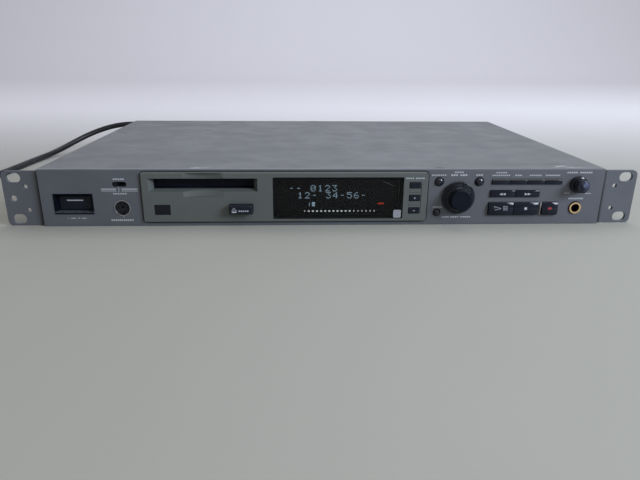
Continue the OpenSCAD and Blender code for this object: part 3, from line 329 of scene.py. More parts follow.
def finish(name, colour, rough, metal=0.0, mottle=(60, 0.08), grain=(1500, 0.02), stretch=(1, 1, 1),
           specular=0.5):
    """A surface with mottled colour, varied gloss and a fine grain as its relief (depth in millimetres)."""
    material = bpy.data.materials.new(name)
    material.use_nodes = True
    tree = material.node_tree
    shader = tree.nodes["Principled BSDF"]
    shader.inputs["Metallic"].default_value = metal
    shader.inputs["Specular IOR Level"].default_value = specular
    blotches = noise(tree, mottle[0], 4, stretch)
    shade = mixed(tree, between(tree, blotches, 0, 1), rgba(colour, 1 - mottle[1]),
                  rgba(colour, 1 + mottle[1]))
    tree.links.new(shade, shader.inputs["Base Color"])
    gloss = between(tree, noise(tree, mottle[0] * 2.3, 3, stretch), rough[0], rough[1])
    tree.links.new(gloss, shader.inputs["Roughness"])
    relief = add(tree, "Bump", {"Height": noise(tree, grain[0], 2, stretch), "Strength": 0.6,
                                "Distance": grain[1] * MM})
    tree.links.new(relief.outputs["Normal"], shader.inputs["Normal"])
    return material


def shade_of(material):
    """The socket that colours a finish, and its shader."""
    tree = material.node_tree
    shader = tree.nodes["Principled BSDF"]
    return tree, shader, shader.inputs["Base Color"].links[0].from_socket


def stained(material, fac, colour):
    """Lays another colour over a finish where fac is 1."""
    tree, shader, shade = shade_of(material)
    tree.links.new(mixed(tree, fac, shade, rgba(colour)), shader.inputs["Base Color"])


def axis_value(tree, axis):
    """The piece's own coordinate along an axis, in metres."""
    place = add(tree, "TexCoord").outputs["Object"]
    return add(tree, "SeparateXYZ", {"Vector": place}).outputs[axis]


def near(tree, axis, middle, half, fade):
    """1 where the piece's coordinate lies within half of a middle, falling to 0 over fade (all in metres)."""
    value = axis_value(tree, axis)
    away = add(tree, "Math", {0: add(tree, "Math", {0: value, 1: middle}, operation="SUBTRACT").outputs[0]},
               operation="ABSOLUTE").outputs[0]
    return add(tree, "MapRange", {"Value": away, "From Min": half, "From Max": half + fade, "To Min": 1.0,
                                  "To Max": 0.0}).outputs["Result"]


def times(tree, *sockets):
    """The product of a socket with other sockets or numbers."""
    result = sockets[0]
    for socket in sockets[1:]:
        result = add(tree, "Math", {0: result, 1: socket}, operation="MULTIPLY").outputs[0]
    return result


def blot(tree, x, y, half_x, half_y, turn=0.0, soft=0.35):
    """1 inside an ellipse on the cover (middle, half axes in millimetres, turn in degrees), 0 outside."""
    place = add(tree, "TexCoord").outputs["Object"]
    middle = in_frame((x, y, 0))[0]
    local = add(tree, "Mapping", {"Vector": place, "Location": (middle[0], middle[1], 0),
                                  "Rotation": (0, 0, math.radians(turn)),
                                  "Scale": (half_x * MM, half_y * MM, 1.0)},
                vector_type="TEXTURE").outputs["Vector"]
    far = add(tree, "VectorMath", {0: local}, operation="LENGTH").outputs["Value"]
    return add(tree, "MapRange", {"Value": far, "From Min": 1 - soft, "From Max": 1 + soft, "To Min": 1.0,
                                  "To Max": 0.0}).outputs["Result"]


# Marks on the cover: [x, depth, half length, half width, turn, shade against the paint's, how strong]
COVER_MARKS = [
    [0, 277.5, 5.0, 2.8, 0, 0.08, 1.0], [-117.9, 203, 2.6, 5.5, 10, 0.35, 0.85],
    [-204, 184, 15, 1.0, -55, 0.3, 0.9], [-99.5, 6.5, 4, 2.0, 20, 2.9, 0.85],
    [-93, 8.5, 6, 0.6, 40, 2.6, 0.8], [86.8, 6.6, 3.6, 2.2, 0, 0.15, 0.9],
    [188, 9, 11, 0.6, -38, 3.4, 1.0], [183, 12, 6, 1.0, 30, 3.0, 0.9], [198, 6.5, 7, 0.8, -20, 2.8, 0.8],
    [70, 112, 19, 2.0, 8, 0.68, 0.75], [120, 128, 28, 2.2, -6, 0.66, 0.75],
    [178, 140, 16, 1.8, 14, 0.7, 0.75]]


def case_paint():
    """The cover's satin paint, with rubs near its front right, marks, and a painted highlight along its front
    edge.
    """
    paint = settings().cover
    material = finish("case_paint", paint, (0.38, 0.5), mottle=(14, 0.035), grain=(2600, 0.012))
    tree = material.node_tree
    top = near(tree, "Z", 0.0434, 0.0006, 0.0006)
    front = FACE_Y + 3.7 * MM
    patchy = between(tree, noise(tree, 70, 5, (1, 4, 1)), 0.0, 1.0, 0.44, 0.58)
    for x, y, half_x, half_y, strong in ((150, 19, 46, 2.6, 0.55), (196, 20, 22, 3.0, 0.4),
                                         (60, 28, 90, 4, 0.18), (-30, 30, 120, 8, 0.12)):
        rub = times(tree, blot(tree, x, y, half_x, half_y, 0, 0.6), patchy, top, strong)
        stained(material, rub, [c * 0.4 for c in paint])
    streak = times(tree, between(tree, noise(tree, 8, 4, (1, 8, 1)), 0, 0.3, 0.5, 0.72), top)
    stained(material, streak, [c * 0.68 for c in paint])
    for x, y, half_x, half_y, turn, shade, strong in COVER_MARKS:
        mark = times(tree, blot(tree, x, y, half_x, half_y, turn), top, strong)
        stained(material, mark, [c * shade for c in paint])
    # Painted highlight: a pale band along the front edge, where the cover's fold catches the light, made
    # uneven by noise.
    edge = times(tree, near(tree, "Y", front, 0.0021, 0.0008), between(tree, noise(tree, 45, 3), 0.55, 0.95))
    stained(material, edge, [c * 2.0 for c in paint])
    return material


def metallic(name, colour, rough, stretch=(1, 1, 1), mottle=(90, 0.1), grain=(900, 0.004)):
    """A bare or plated metal."""
    return finish(name, colour, rough, metal=1.0, mottle=mottle, grain=grain, stretch=stretch)


def glowing(name, colour, strength):
    """A lit mark: a plain emission with a faint flicker of brightness from dot to dot."""
    material = bpy.data.materials.new(name)
    material.use_nodes = True
    tree = material.node_tree
    shader = tree.nodes["Principled BSDF"]
    shader.inputs["Base Color"].default_value = rgba(colour, 0.15)
    shader.inputs["Roughness"].default_value = 0.5
    shader.inputs["Emission Strength"].default_value = strength
    shade = mixed(tree, between(tree, noise(tree, 700, 1), 0, 1), rgba(colour, 0.82), rgba(colour, 1.0))
    tree.links.new(shade, shader.inputs["Emission Color"])
    return material


def smoked():
    """The display window: a dark clear plastic that lets part of the light through, with a faint haze."""
    material = finish("smoked_window", (0.0035, 0.004, 0.0045), (0.05, 0.08), mottle=(12, 0.3),
                      grain=(60, 0.0002), specular=0.4)
    material.node_tree.nodes["Principled BSDF"].inputs["Alpha"].default_value = 0.4
    return material


def circuit_board():
    """Green lacquer over a pattern of traces, made from two sets of stretched bricks."""
    material = finish("circuit_board", (0.02, 0.11, 0.05), (0.25, 0.4), mottle=(50, 0.15), grain=(700, 0.01))
    tree = material.node_tree
    place = add(tree, "TexCoord").outputs["Object"]
    bricks = add(tree, "TexBrick", {"Vector": place, "Scale": 60.0, "Mortar Size": 0.06,
                                    "Color1": (0, 0, 0, 1), "Color2": (0, 0, 0, 1),
                                    "Mortar": (1, 1, 1, 1)})
    lines = times(tree, bricks.outputs["Fac"], between(tree, noise(tree, 35, 2), 0, 1, 0.45, 0.5))
    stained(material, lines, (0.06, 0.24, 0.10))
    return material


# Finishes that several operators share
FINISHES = {}


def coat(material, *names):
    """Gives CAD nodes their finish."""
    for name in names:
        data = NODES[name].data
        data.materials.clear()
        data.materials.append(material)


def soften(name, width, segments=2):
    """Rounds a CAD node's edges: merged, flat faces joined, then bevelled (width in millimetres)."""
    piece = NODES[name]
    weld = piece.modifiers.new("weld", "WELD")
    weld.merge_threshold = 1e-6
    join = piece.modifiers.new("join", "DECIMATE")
    join.decimate_type = "DISSOLVE"
    join.angle_limit = math.radians(0.6)
    bevel = piece.modifiers.new("bevel", "BEVEL")
    bevel.width = width * MM
    bevel.segments = segments
    bevel.limit_method = "ANGLE"
    bevel.angle_limit = math.radians(40)


# ---------------------------------------------------------------- camera, light and floor


class DECK_OT_stage(bpy.types.Operator):
    """Camera at the photographed angle, a pale floor and soft light"""

    bl_idname = "deck.stage"
    bl_label = "Stage"

    def execute(self, context):
        scene = context.scene
        yaw, pitch, roll = CAMERA_YAW, CAMERA_PITCH, CAMERA_ROLL
        ahead = Vector((math.sin(yaw) * math.cos(pitch), math.cos(yaw) * math.cos(pitch), -math.sin(pitch)))
        right = Vector((math.cos(yaw), -math.sin(yaw), 0))
        up = right.cross(ahead)
        right, up = right * math.cos(roll) + up * math.sin(roll), up * math.cos(roll) - right * math.sin(roll)
        data = bpy.data.cameras.new("camera")
        data.sensor_width = 36
        data.lens = 36 * FOCAL_SHARE
        data.clip_start, data.clip_end = 0.01, 50
        camera = bpy.data.objects.new("camera", data)
        turn = Matrix((right, up, -ahead)).transposed().to_4x4()
        camera.matrix_world = Matrix.Translation(in_frame(CAMERA_AT)[0]) @ turn
        scene.collection.objects.link(camera)
        scene.camera = camera
        self.floor(scene)
        self.lights(scene)
        scene.view_settings.view_transform = "Standard"
        return {"FINISHED"}

    def floor(self, scene):
        """A flat pale floor that turns up into a far backdrop along a quarter circle."""
        reach, bend, height = 6.0, 0.8, 3.0
        angle = np.linspace(0, np.pi / 2, 12)
        y = np.concatenate([[-reach], 1.6 + bend * np.sin(angle), [1.6 + bend]])
        z = np.concatenate([[0.0], bend * (1 - np.cos(angle)), [height]])
        x = np.array([-reach, reach])
        points = np.stack([np.repeat(x[None], len(y), 0), np.repeat(y[:, None], 2, 1),
                           np.repeat(z[:, None], 2, 1)], -1)
        mesh = bpy.data.meshes.new("floor")
        mesh.from_pydata(points.reshape(-1, 3).tolist(), [], grid_faces(len(y), 2)[:, ::-1].tolist())
        mesh.polygons.foreach_set("use_smooth", np.full(len(mesh.polygons), True))
        material = finish("floor", (0.295, 0.292, 0.268), (0.6, 0.75), mottle=(3, 0.012), grain=(200, 0.05))
        tree = material.node_tree
        stretch = {"Value": axis_value(tree, "Y"), "From Min": -0.1, "From Max": 0.75}
        far = add(tree, "MapRange", stretch, interpolation_type="SMOOTHSTEP")
        stained(material, far.outputs["Result"], (0.80, 0.79, 0.86))
        mesh.materials.append(material)
        floor = bpy.data.objects.new("floor", mesh)
        scene.collection.objects.link(floor)

    def lights(self, scene):
        """A pale even sky, and three soft lamps: name, place, aim, size, power and colour."""
        world = bpy.data.worlds.new("soft_sky")
        world.use_nodes = True
        world.node_tree.nodes["Background"].inputs["Color"].default_value = (1.0, 0.99, 0.96, 1)
        world.node_tree.nodes["Background"].inputs["Strength"].default_value = 0.36
        scene.world = world
        lamp_power = settings().lamp
        for name, place, aim, size, power, colour in (
            ("over_right", (0.5, 0.85, 2.3), (0.1, 0.05, 0), (1.6, 1.6), lamp_power * 1.1, (0.93, 0.96, 1.0)),
            ("window_right", (1.25, -0.95, 0.75), (0.05, -0.12, 0.02), (0.6, 0.6), lamp_power * 1.55,
             (0.76, 0.86, 1.0)),
            ("ceiling_strip", (0.45, -1.05, 1.4), (0.25, -0.2, 0), (1.4, 0.3), lamp_power * 0.28,
             (1.0, 0.96, 0.84)),
        ):
            lamp = bpy.data.lights.new(name, "AREA")
            lamp.shape = "RECTANGLE"
            lamp.energy, lamp.size, lamp.size_y = power, size[0], size[1]
            lamp.color = colour
            light = bpy.data.objects.new(name, lamp)
            light.location = place
            light.rotation_mode = "QUATERNION"
            light.rotation_quaternion = (Vector(aim) - Vector(place)).to_track_quat("-Z", "Y")
            scene.collection.objects.link(light)


# ---------------------------------------------------------------- cord

CORD_D = 6.2
RELIEF_L = 24
EXIT = (-205, 31)
# The cord's route from its relief to its coil: [x from the exit, depth behind the case's back, share of the
# exit's height over the lying cord]
ROUTE = [
    [0, 24, 1], [0, 30, 1], [-2, 38, 1.02], [-8, 46, 1.04], [-18, 51, 1.05], [-30, 52, 1.05], [-43, 51, 1.02],
    [-57, 48, 0.93], [-71, 42, 0.78], [-84, 34, 0.59], [-96, 23, 0.37], [-106, 9, 0.17], [-113, -8, 0.05],
    [-117, -27, 0.01], [-119, -48, 0], [-120, -70, 0], [-121, -92, 0], [-123, -114, 0], [-127, -134, 0],
    [-131, -150, 0], [-132, -162, 0], [-132, -170, 0]]
COIL_MID_D = 74
COIL_TURNS = 3
TURN_STEP = CORD_D + 0.7
# The cord's end from the coil to its plug: [length along the depth, share of the drop]
TAIL = [[12, 0], [24, 0.35], [36, 0.8], [44, 1], [50.2, 1]]
PLUG = (25, 28, 15)
BLADE = (1.5, 17.5, 6.3)
BLADE_GAP = 12.7


def cord_path():
    """The listed route, a coil that goes in and out again at a steady rate, and the tail to the plug."""
    lying = CORD_D / 2 + 0.1
    route = np.array(ROUTE, float)
    route = np.stack([EXIT[0] + route[:, 0], BACK + route[:, 1], lying + route[:, 2] * (EXIT[1] - lying)], 1)
    outer = COIL_MID_D / 2 + COIL_TURNS * TURN_STEP / 2
    inner = outer - COIL_TURNS * TURN_STEP
    turns = np.arange(0, 2 * COIL_TURNS + 0.5 + 1e-9, 1 / 24)
    radius = np.where(turns <= COIL_TURNS + 0.25, outer - TURN_STEP * turns,
                      inner + TURN_STEP * (turns - COIL_TURNS - 0.5))
    angle = 2 * np.pi * turns
    middle = np.array([route[-1, 0] - outer, route[-1, 1] - CORD_D])
    height = lying + TURN_STEP * np.clip(2 * (turns - COIL_TURNS), 0, 1)
    coil = np.stack([middle[0] + radius * np.cos(angle), middle[1] - radius * np.sin(angle), height], 1)
    drop = PLUG[2] / 2 - coil[-1, 2]
    tail = np.array([coil[-1] + [0, y, share * drop] for y, share in TAIL])
    return smooth_line(route, 2), coil, tail


def smooth_line(points, times_finer):
    """A Catmull-Rom curve through the points, with more points between them."""
    p = np.concatenate([[2 * points[0] - points[1]], points, [2 * points[-1] - points[-2]]])
    t = (np.arange(times_finer) / times_finer)[None, :, None]
    a, b, c, d = (p[k:len(p) - 3 + k][:, None] for k in range(4))
    line = 0.5 * (2 * b + (c - a) * t + (2 * a - 5 * b + 4 * c - d) * t**2 + (3 * b - a - 3 * c + d) * t**3)
    return np.concatenate([line.reshape(-1, 3), points[-1:]])


def tube(path, radius, sides=16):
    """A round tube along a path: centre + r (cos a * side + sin a * up), with side and up at each point."""
    path = np.asarray(path, float)
    ahead = np.gradient(path, axis=0)
    ahead /= np.linalg.norm(ahead, axis=1)[:, None]
    side = np.cross(ahead, [0, 0, 1.0])
    side /= np.linalg.norm(side, axis=1)[:, None]
    up = np.cross(side, ahead)
    a = np.linspace(0, 2 * np.pi, sides, endpoint=False)[None, :, None]
    r = np.broadcast_to(np.asarray(radius, float), (len(path),))[:, None, None]
    points = path[:, None] + r * (np.cos(a) * side[:, None] + np.sin(a) * up[:, None])
    faces = grid_faces(len(path), sides, around_cols=True).tolist()
    last = (len(path) - 1) * sides
    faces += [list(range(sides)), list(range(last + sides - 1, last - 1, -1))]
    return points.reshape(-1, 3), faces


class DECK_OT_cord(bpy.types.Operator):
    """The mains cord with its strain relief, coil, tie and plug"""

    bl_idname = "deck.cord"
    bl_label = "Cord"

    def execute(self, context):
        rubber = finish("cord_rubber", (0.008, 0.009, 0.012), (0.3, 0.44), mottle=(70, 0.2),
                        grain=(1800, 0.012), specular=0.3)
        route, coil, tail = cord_path()
        path = np.concatenate([route, coil, tail])
        cord = build("mains_cord", [tube(path, CORD_D / 2)], rubber, "chassis")
        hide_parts("power_cord", "cord_coil")
        relief = self.relief(rubber)
        plug, blades = self.plug(rubber, tail[-1])
        tie = self.tie(coil)
        return {"FINISHED"}

    def relief(self, rubber):
        """A tapered sleeve with ring grooves, turned about the cord's exit."""
        start, end = 6.0, CORD_D / 2 + 0.9
        inside = depths_of("cord_relief")[0]
        profile = [[0, inside], [7.4, inside], [7.4, BACK - 1.3], [start, BACK - 1.3], [start, BACK + 1.5]]
        for k in range(6):
            place = BACK + 3.2 + k * (RELIEF_L - 5) / 6
            r = start + (end - start) * (place - BACK) / RELIEF_L
            profile += [[r, place - 0.9], [r - 0.9, place - 0.5], [r - 0.9, place + 0.4],
                        [r - 0.1, place + 0.8]]
        profile += [[end, BACK + RELIEF_L - 0.6], [end - 0.5, BACK + RELIEF_L], [0, BACK + RELIEF_L]]
        piece = build("cord_sleeve", [lathe((EXIT[0], 0, EXIT[1]), profile)], rubber, "chassis",
                      sharp=35)
        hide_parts("cord_relief")
        return piece

    def plug(self, rubber, at):
        """A moulded body that swells from its ribbed neck to a rounded block, and two flat blades."""
        radii = [CORD_D / 2 + 0.5 + 0.2 * k + 0.5 * (k % 2) for k in range(9)]
        neck = [superellipse(r, r, 2) for r in radii]
        places = [1.2 * k for k in range(9)]
        block = [superellipse(PLUG[0] / 2 * w, PLUG[2] / 2 * h, n) for w, h, n in
                 [(0.5, 0.72, 2.6), (0.8, 0.86, 3.2), (0.96, 0.96, 4.5), (1, 1, 5.5), (0.97, 0.97, 5.5),
                  (0.97, 0.97, 5.5), (1, 1, 5.5), (1, 1, 5.5), (0.96, 0.95, 5)]]
        places += [11.5, 14, 18, 23, 25, 31, 33, 41, 42]
        body = build("plug_body", [loft(neck + block, places, at)], rubber, "chassis",
                     sharp=50)
        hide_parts("cord_plug")
        nickel = metallic("plug_nickel", (0.72, 0.70, 0.64), (0.18, 0.3), stretch=(1, 8, 1))
        parts = []
        for side in (-1, 1):
            outline = [[BLADE[0] / 2 * a, BLADE[2] / 2 * b] for a, b in ((-1, -1), (1, -1), (1, 1), (-1, 1))]
            tip = [[a * 0.6, b * 0.72] for a, b in outline]
            place = [41, 42 + BLADE[1] - 2, 42 + BLADE[1]]
            parts.append(loft([outline, outline, tip], place, np.array(at) + [side * BLADE_GAP / 2, 0, 0]))
        blades = build("plug_blades", parts, nickel, "chassis", smooth=False)
        return body, blades

    def tie(self, coil):
        """A flat strap round the bundle: a rounded box outline in a spoke's plane, drawn out sideways."""
        middle = (coil[:, :2].max(0) + coil[:, :2].min(0)) / 2
        out = np.linalg.norm(coil[:, :2] - middle, axis=1)
        r0, r1 = out.min() - CORD_D / 2 - 0.6, out.max() + CORD_D / 2 + 0.4
        top = coil[:, 2].max() + CORD_D / 2 + 0.5
        half_w, half_h = (r1 - r0) / 2, (top - 0.02) / 2
        at = [(r0 + r1) / 2, (top + 0.02) / 2]
        ring = superellipse(half_w, half_h, 5, 64) + at
        inner = superellipse(half_w - 0.5, half_h - 0.05, 5, 64) + at
        spoke = math.radians(-60)
        across = np.array([math.cos(spoke), math.sin(spoke), 0])
        along = np.array([-math.sin(spoke), math.cos(spoke), 0])
        loops = [(ring, -3), (ring, 3), (inner, 3), (inner, -3)]
        points = np.concatenate([
            np.array([*middle, 0]) + o[:, :1] * across + o[:, 1:] * np.array([0, 0, 1.0]) + w * along
            for o, w in loops])
        strap = finish("strap", (0.02, 0.02, 0.021), (0.45, 0.6), mottle=(300, 0.2), grain=(3000, 0.03))
        return build("coil_tie", [(points, grid_faces(4, 64, True, True).tolist())], strap, "chassis",
                     sharp=35)


# ---------------------------------------------------------------- case


class DECK_OT_case(bpy.types.Operator):
    """Cover, chassis, rear panel, rack ears and screws"""

    bl_idname = "deck.case"
    bl_label = "Case"

    def execute(self, context):
        coat(case_paint(), "top_cover")
        soften("top_cover", 0.8)
        rear = finish("rear_paint", (0.035, 0.036, 0.038), (0.5, 0.62), mottle=(20, 0.08), grain=(1600, 0.03))
        coat(rear, "rear_panel")
        zinc = metallic("zinc", (0.55, 0.55, 0.53), (0.3, 0.42), mottle=(25, 0.12), grain=(500, 0.006))
        coat(zinc, "base_chassis")
        ear = finish("ear_paint", settings().panel, (0.42, 0.55), mottle=(35, 0.07), grain=(1700, 0.02))
        coat(ear, "rack_ear_left", "rack_ear_right")
        for name in ("rack_ear_left", "rack_ear_right"):
            soften(name, 0.35)
        self.screws()
        self.rear_marks()
        return {"FINISHED"}

    def screws(self):
        """Pan heads: the height over (r, a) is a dome, less a cross recess where x or y is small."""
        steel = metallic("screw_steel", (0.42, 0.42, 0.41), (0.22, 0.34), mottle=(400, 0.1))
        side_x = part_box("case_screws")[1].x / MM
        parts = []
        head_r, dome_r, head_h, cross_w, cross_l, cross_deep = 3.0, 2.4, 2.0, 0.4, 1.5, 0.9
        r = np.concatenate([np.linspace(0, dome_r, 13), [2.7, 2.95, head_r, head_r]])[:, None]
        a = np.linspace(0, 2 * np.pi, 48, endpoint=False)[None, :]
        u, v = r * np.cos(a), r * np.sin(a)
        height = head_h - 0.12 * r**2 + 0 * a
        height[-1] = 0.0
        height[-2] = 0.9
        u_size, v_size = np.abs(u), np.abs(v)
        cross = ((u_size < cross_w) & (v_size < cross_l)) | ((v_size < cross_w) & (u_size < cross_l))
        height = np.where(cross, height - cross_deep, height)
        seat_ear, seat_cover = side_x - 2.0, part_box("top_cover")[1].x / MM + 0.1
        mid_z = middle_of("rack_ear_left")[1]
        places = [(seat_ear, 16), (seat_ear, 28), (seat_cover, 0.4 * BACK), (seat_cover, BACK - 40)]
        steps = a.size
        faces = grid_faces(len(r), steps, around_cols=True).tolist()
        faces.append(list(range(steps * (len(r) - 1), steps * len(r))))
        for side in (-1, 1):
            for x, y in places:
                points = np.stack([side * (x + height), y + u, mid_z + v], -1).reshape(-1, 3)
                parts.append((points, faces))
            rear_x = side * (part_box("base_chassis")[1].x / MM - 6)
            points = np.stack([rear_x + u, BACK + 0.1 + height, 16 + v], -1).reshape(-1, 3)
            parts.append((points, faces))
        piece = build("screw_heads", parts, steel, "chassis", sharp=40)
        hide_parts("case_screws")

    def rear_marks(self):
        """Plain dashes between the rear sockets, and a line with a dash over each group of them."""
        white = printed("rear_print", settings().print_colour)
        face = flat(BACK + 0.06)
        parts = []
        for x in (50, 80, 96):
            parts.append(bar(x - 4, x + 4, 21.1, 21.8, face, lift=0))
        for x0, x1 in ((42, 58), (72, 104), (1, 32)):
            parts += [bar(x0, x1, 38.2, 38.5, face, lift=0),
                      bar((x0 + x1) / 2 - 5, (x0 + x1) / 2 + 5, 39.2, 40, face, lift=0)]
        parts.append(bar(-56, -34, 32, 32.8, face, lift=0))
        parts.append(bar(-200, -180, 18, 18.8, face, lift=0))
        piece = marks("rear_marks", parts, white, "chassis")
        piece.data.flip_normals()


def printed(name, colour):
    """Silk-screen ink, a little uneven."""
    return finish(name, colour, (0.5, 0.6), mottle=(900, 0.06), grain=(2500, 0.005))


# ---------------------------------------------------------------- front panel

# Dashes in place of the panel's labels: [left, right, middle height, share of the dash's height]
PANEL_DASHES = [
    [-159, -151, 36.5, 1], [-160, -150, 25.4, 0.8], [-163.5, -147, 4.8, 1.1], [79.5, 90.5, 39.2, 0.8],
    [96.8, 103.5, 41.4, 0.9], [94.3, 99.3, 39.2, 1.1], [101.3, 106.5, 39.2, 1.1], [113.5, 118.5, 39.2, 0.9],
    [82, 88.8, 14.1, 0.8], [89.5, 95, 6.1, 0.8], [96.5, 102.5, 6.1, 0.8], [104, 112, 6.1, 0.8],
    [129, 137, 41.1, 0.8], [126, 139.5, 39, 0.8], [143.5, 148.8, 39, 0.8], [155, 164, 39, 0.8],
    [167.5, 178.5, 39, 0.8], [184, 192, 41.1, 1], [194, 203.5, 41.1, 1], [188, 199.5, 20.6, 1],
    [184, 188, 24.9, 0.6], [201, 205, 24.6, 0.6]]


def dashes(rows, face):
    """Rows of short bars, one row for each [left, right, middle height, share of the dash's height]."""
    h = settings().dash / MM
    parts = []
    for x0, x1, z, k in rows:
        count = max(2, round((x1 - x0) / 1.55))
        pitch = (x1 - x0 + 0.5) / count
        parts += [bar(x0 + n * pitch, x0 + (n + 1) * pitch - 0.5, z - h * k / 2, z + h * k / 2, face)
                  for n in range(count)]
    return parts


class DECK_OT_panel(bpy.types.Operator):
    """Front panel with its printed marks"""

    bl_idname = "deck.panel"
    bl_label = "Front panel"

    def execute(self, context):
        paint = finish("panel_paint", settings().panel, (0.42, 0.54), mottle=(30, 0.05), grain=(1900, 0.02))
        coat(paint, "front_panel")
        FINISHES["print"] = printed("print_white", settings().print_colour)
        soft_print = printed("print_soft", [c * 0.7 for c in settings().print_colour])
        face = flat(0)
        parts = dashes(PANEL_DASHES, face)
        parts.append(bar(-155.7, -155.3, 26.7, 30.2, face))
        spans = ((-168.5, -157.5), (-153.5, -141.7))
        parts += [bar(x0, x1, 27.0, 27.25, face) for x0, x1 in spans]
        marks("panel_print", parts, FINISHES["print"], "chassis")
        blocks = [bar(x0, x1, 27.9, 29.5, face) for x0, x1 in spans]
        # The switch's two positions, pressed and not pressed, as a short and a tall step
        blocks += [bar(-196, -194.6, 6.1, 6.5, face), bar(-193.5, -189.5, 6, 6.9, face)]
        blocks += [bar(-188, -186.6, 6.1, 7.1, face), bar(-185.5, -181.8, 6, 6.9, face)]
        blocks += [bar(-154.6, -153.6, 7.2, 8.2, face), bar(-155.2, -153, 8.4, 8.7, face)]
        marks("panel_print_soft", blocks, soft_print, "chassis")
        return {"FINISHED"}


class DECK_OT_bezel(bpy.types.Operator):
    """Bezel with the disc slot, its shutter, the remote window and the small keys' rims"""

    bl_idname = "deck.bezel"
    bl_label = "Bezel"

    def execute(self, context):
        plastic = finish("bezel_plastic", settings().bezel, (0.4, 0.52), mottle=(28, 0.04),
                         grain=(1700, 0.03))
        tree = plastic.node_tree
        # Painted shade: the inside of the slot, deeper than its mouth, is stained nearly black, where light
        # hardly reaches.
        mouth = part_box("slot_shutter")
        painted_tunnel_shade = add(tree, "MapRange", {"Value": axis_value(tree, "Y"), "From Min": mouth[0].y - 5.6 * MM,
                                        "From Max": mouth[0].y - 5.4 * MM}).outputs["Result"]
        x, z = middle_of("slot_shutter")
        half_w, half_h = half_of("slot_shutter")
        sides = near(tree, "X", x * MM, (half_w + 0.5) * MM, 0.0005)
        heights = near(tree, "Z", z * MM, (half_h + 0.6) * MM, 0.0005)
        stained(plastic, times(tree, painted_tunnel_shade, sides, heights), (0.010, 0.011, 0.022))
        coat(plastic, "slot_bezel")
        soften("slot_bezel", 0.3)
        coat(finish("shutter_black", (0.006, 0.008, 0.015), (0.5, 0.6), grain=(1500, 0.02), specular=0.15),
             "slot_shutter")
        coat(finish("remote_window", (0.006, 0.007, 0.011), (0.1, 0.16), mottle=(40, 0.2), grain=(200, 0.001),
                    specular=0.25), "remote_window")
        face = flat(depths_of("display_window")[0] - 0.3)
        rows = [[59.5, 65.5, 37.2, 0.8], [67, 73.5, 37.2, 0.8]]
        marks("bezel_print", dashes(rows, face), FINISHES["print"], "chassis")
        return {"FINISHED"}


# ---------------------------------------------------------------- display

# Generic digits of 5 x 7 dots, one number a row, top row first, its bits from left to right
DIGITS = {
    "0": (14, 17, 19, 21, 25, 17, 14), "1": (4, 12, 4, 4, 4, 4, 14), "2": (14, 17, 1, 2, 4, 8, 31),
    "3": (31, 2, 4, 2, 1, 17, 14), "4": (2, 6, 10, 18, 31, 2, 2), "5": (31, 16, 30, 1, 1, 17, 14),
    "6": (6, 8, 16, 30, 17, 17, 14), "7": (31, 1, 2, 4, 8, 8, 8), "8": (14, 17, 17, 14, 17, 17, 14),
    "9": (14, 17, 17, 15, 1, 2, 12), "-": (0, 0, 0, 14, 0, 0, 0), ":": (0, 4, 4, 0, 4, 4, 0), " ": (0,) * 7}


def dot_text(text, x0, z0, width, height, pitch, face):
    """The lit dots of a row of digits, each dot a small square."""
    parts = []
    half_w, half_h = width / 12, height / 19
    for n, sign in enumerate(text):
        for row, bits in enumerate(DIGITS[sign]):
            for col in range(5):
                if bits >> (4 - col) & 1:
                    x = x0 + n * pitch + (col + 0.5) * width / 5
                    z = z0 + height - (row + 0.5) * height / 7
                    parts.append(bar(x - half_w, x + half_w, z - half_h, z + half_h, face, 2, 0.05))
    return parts


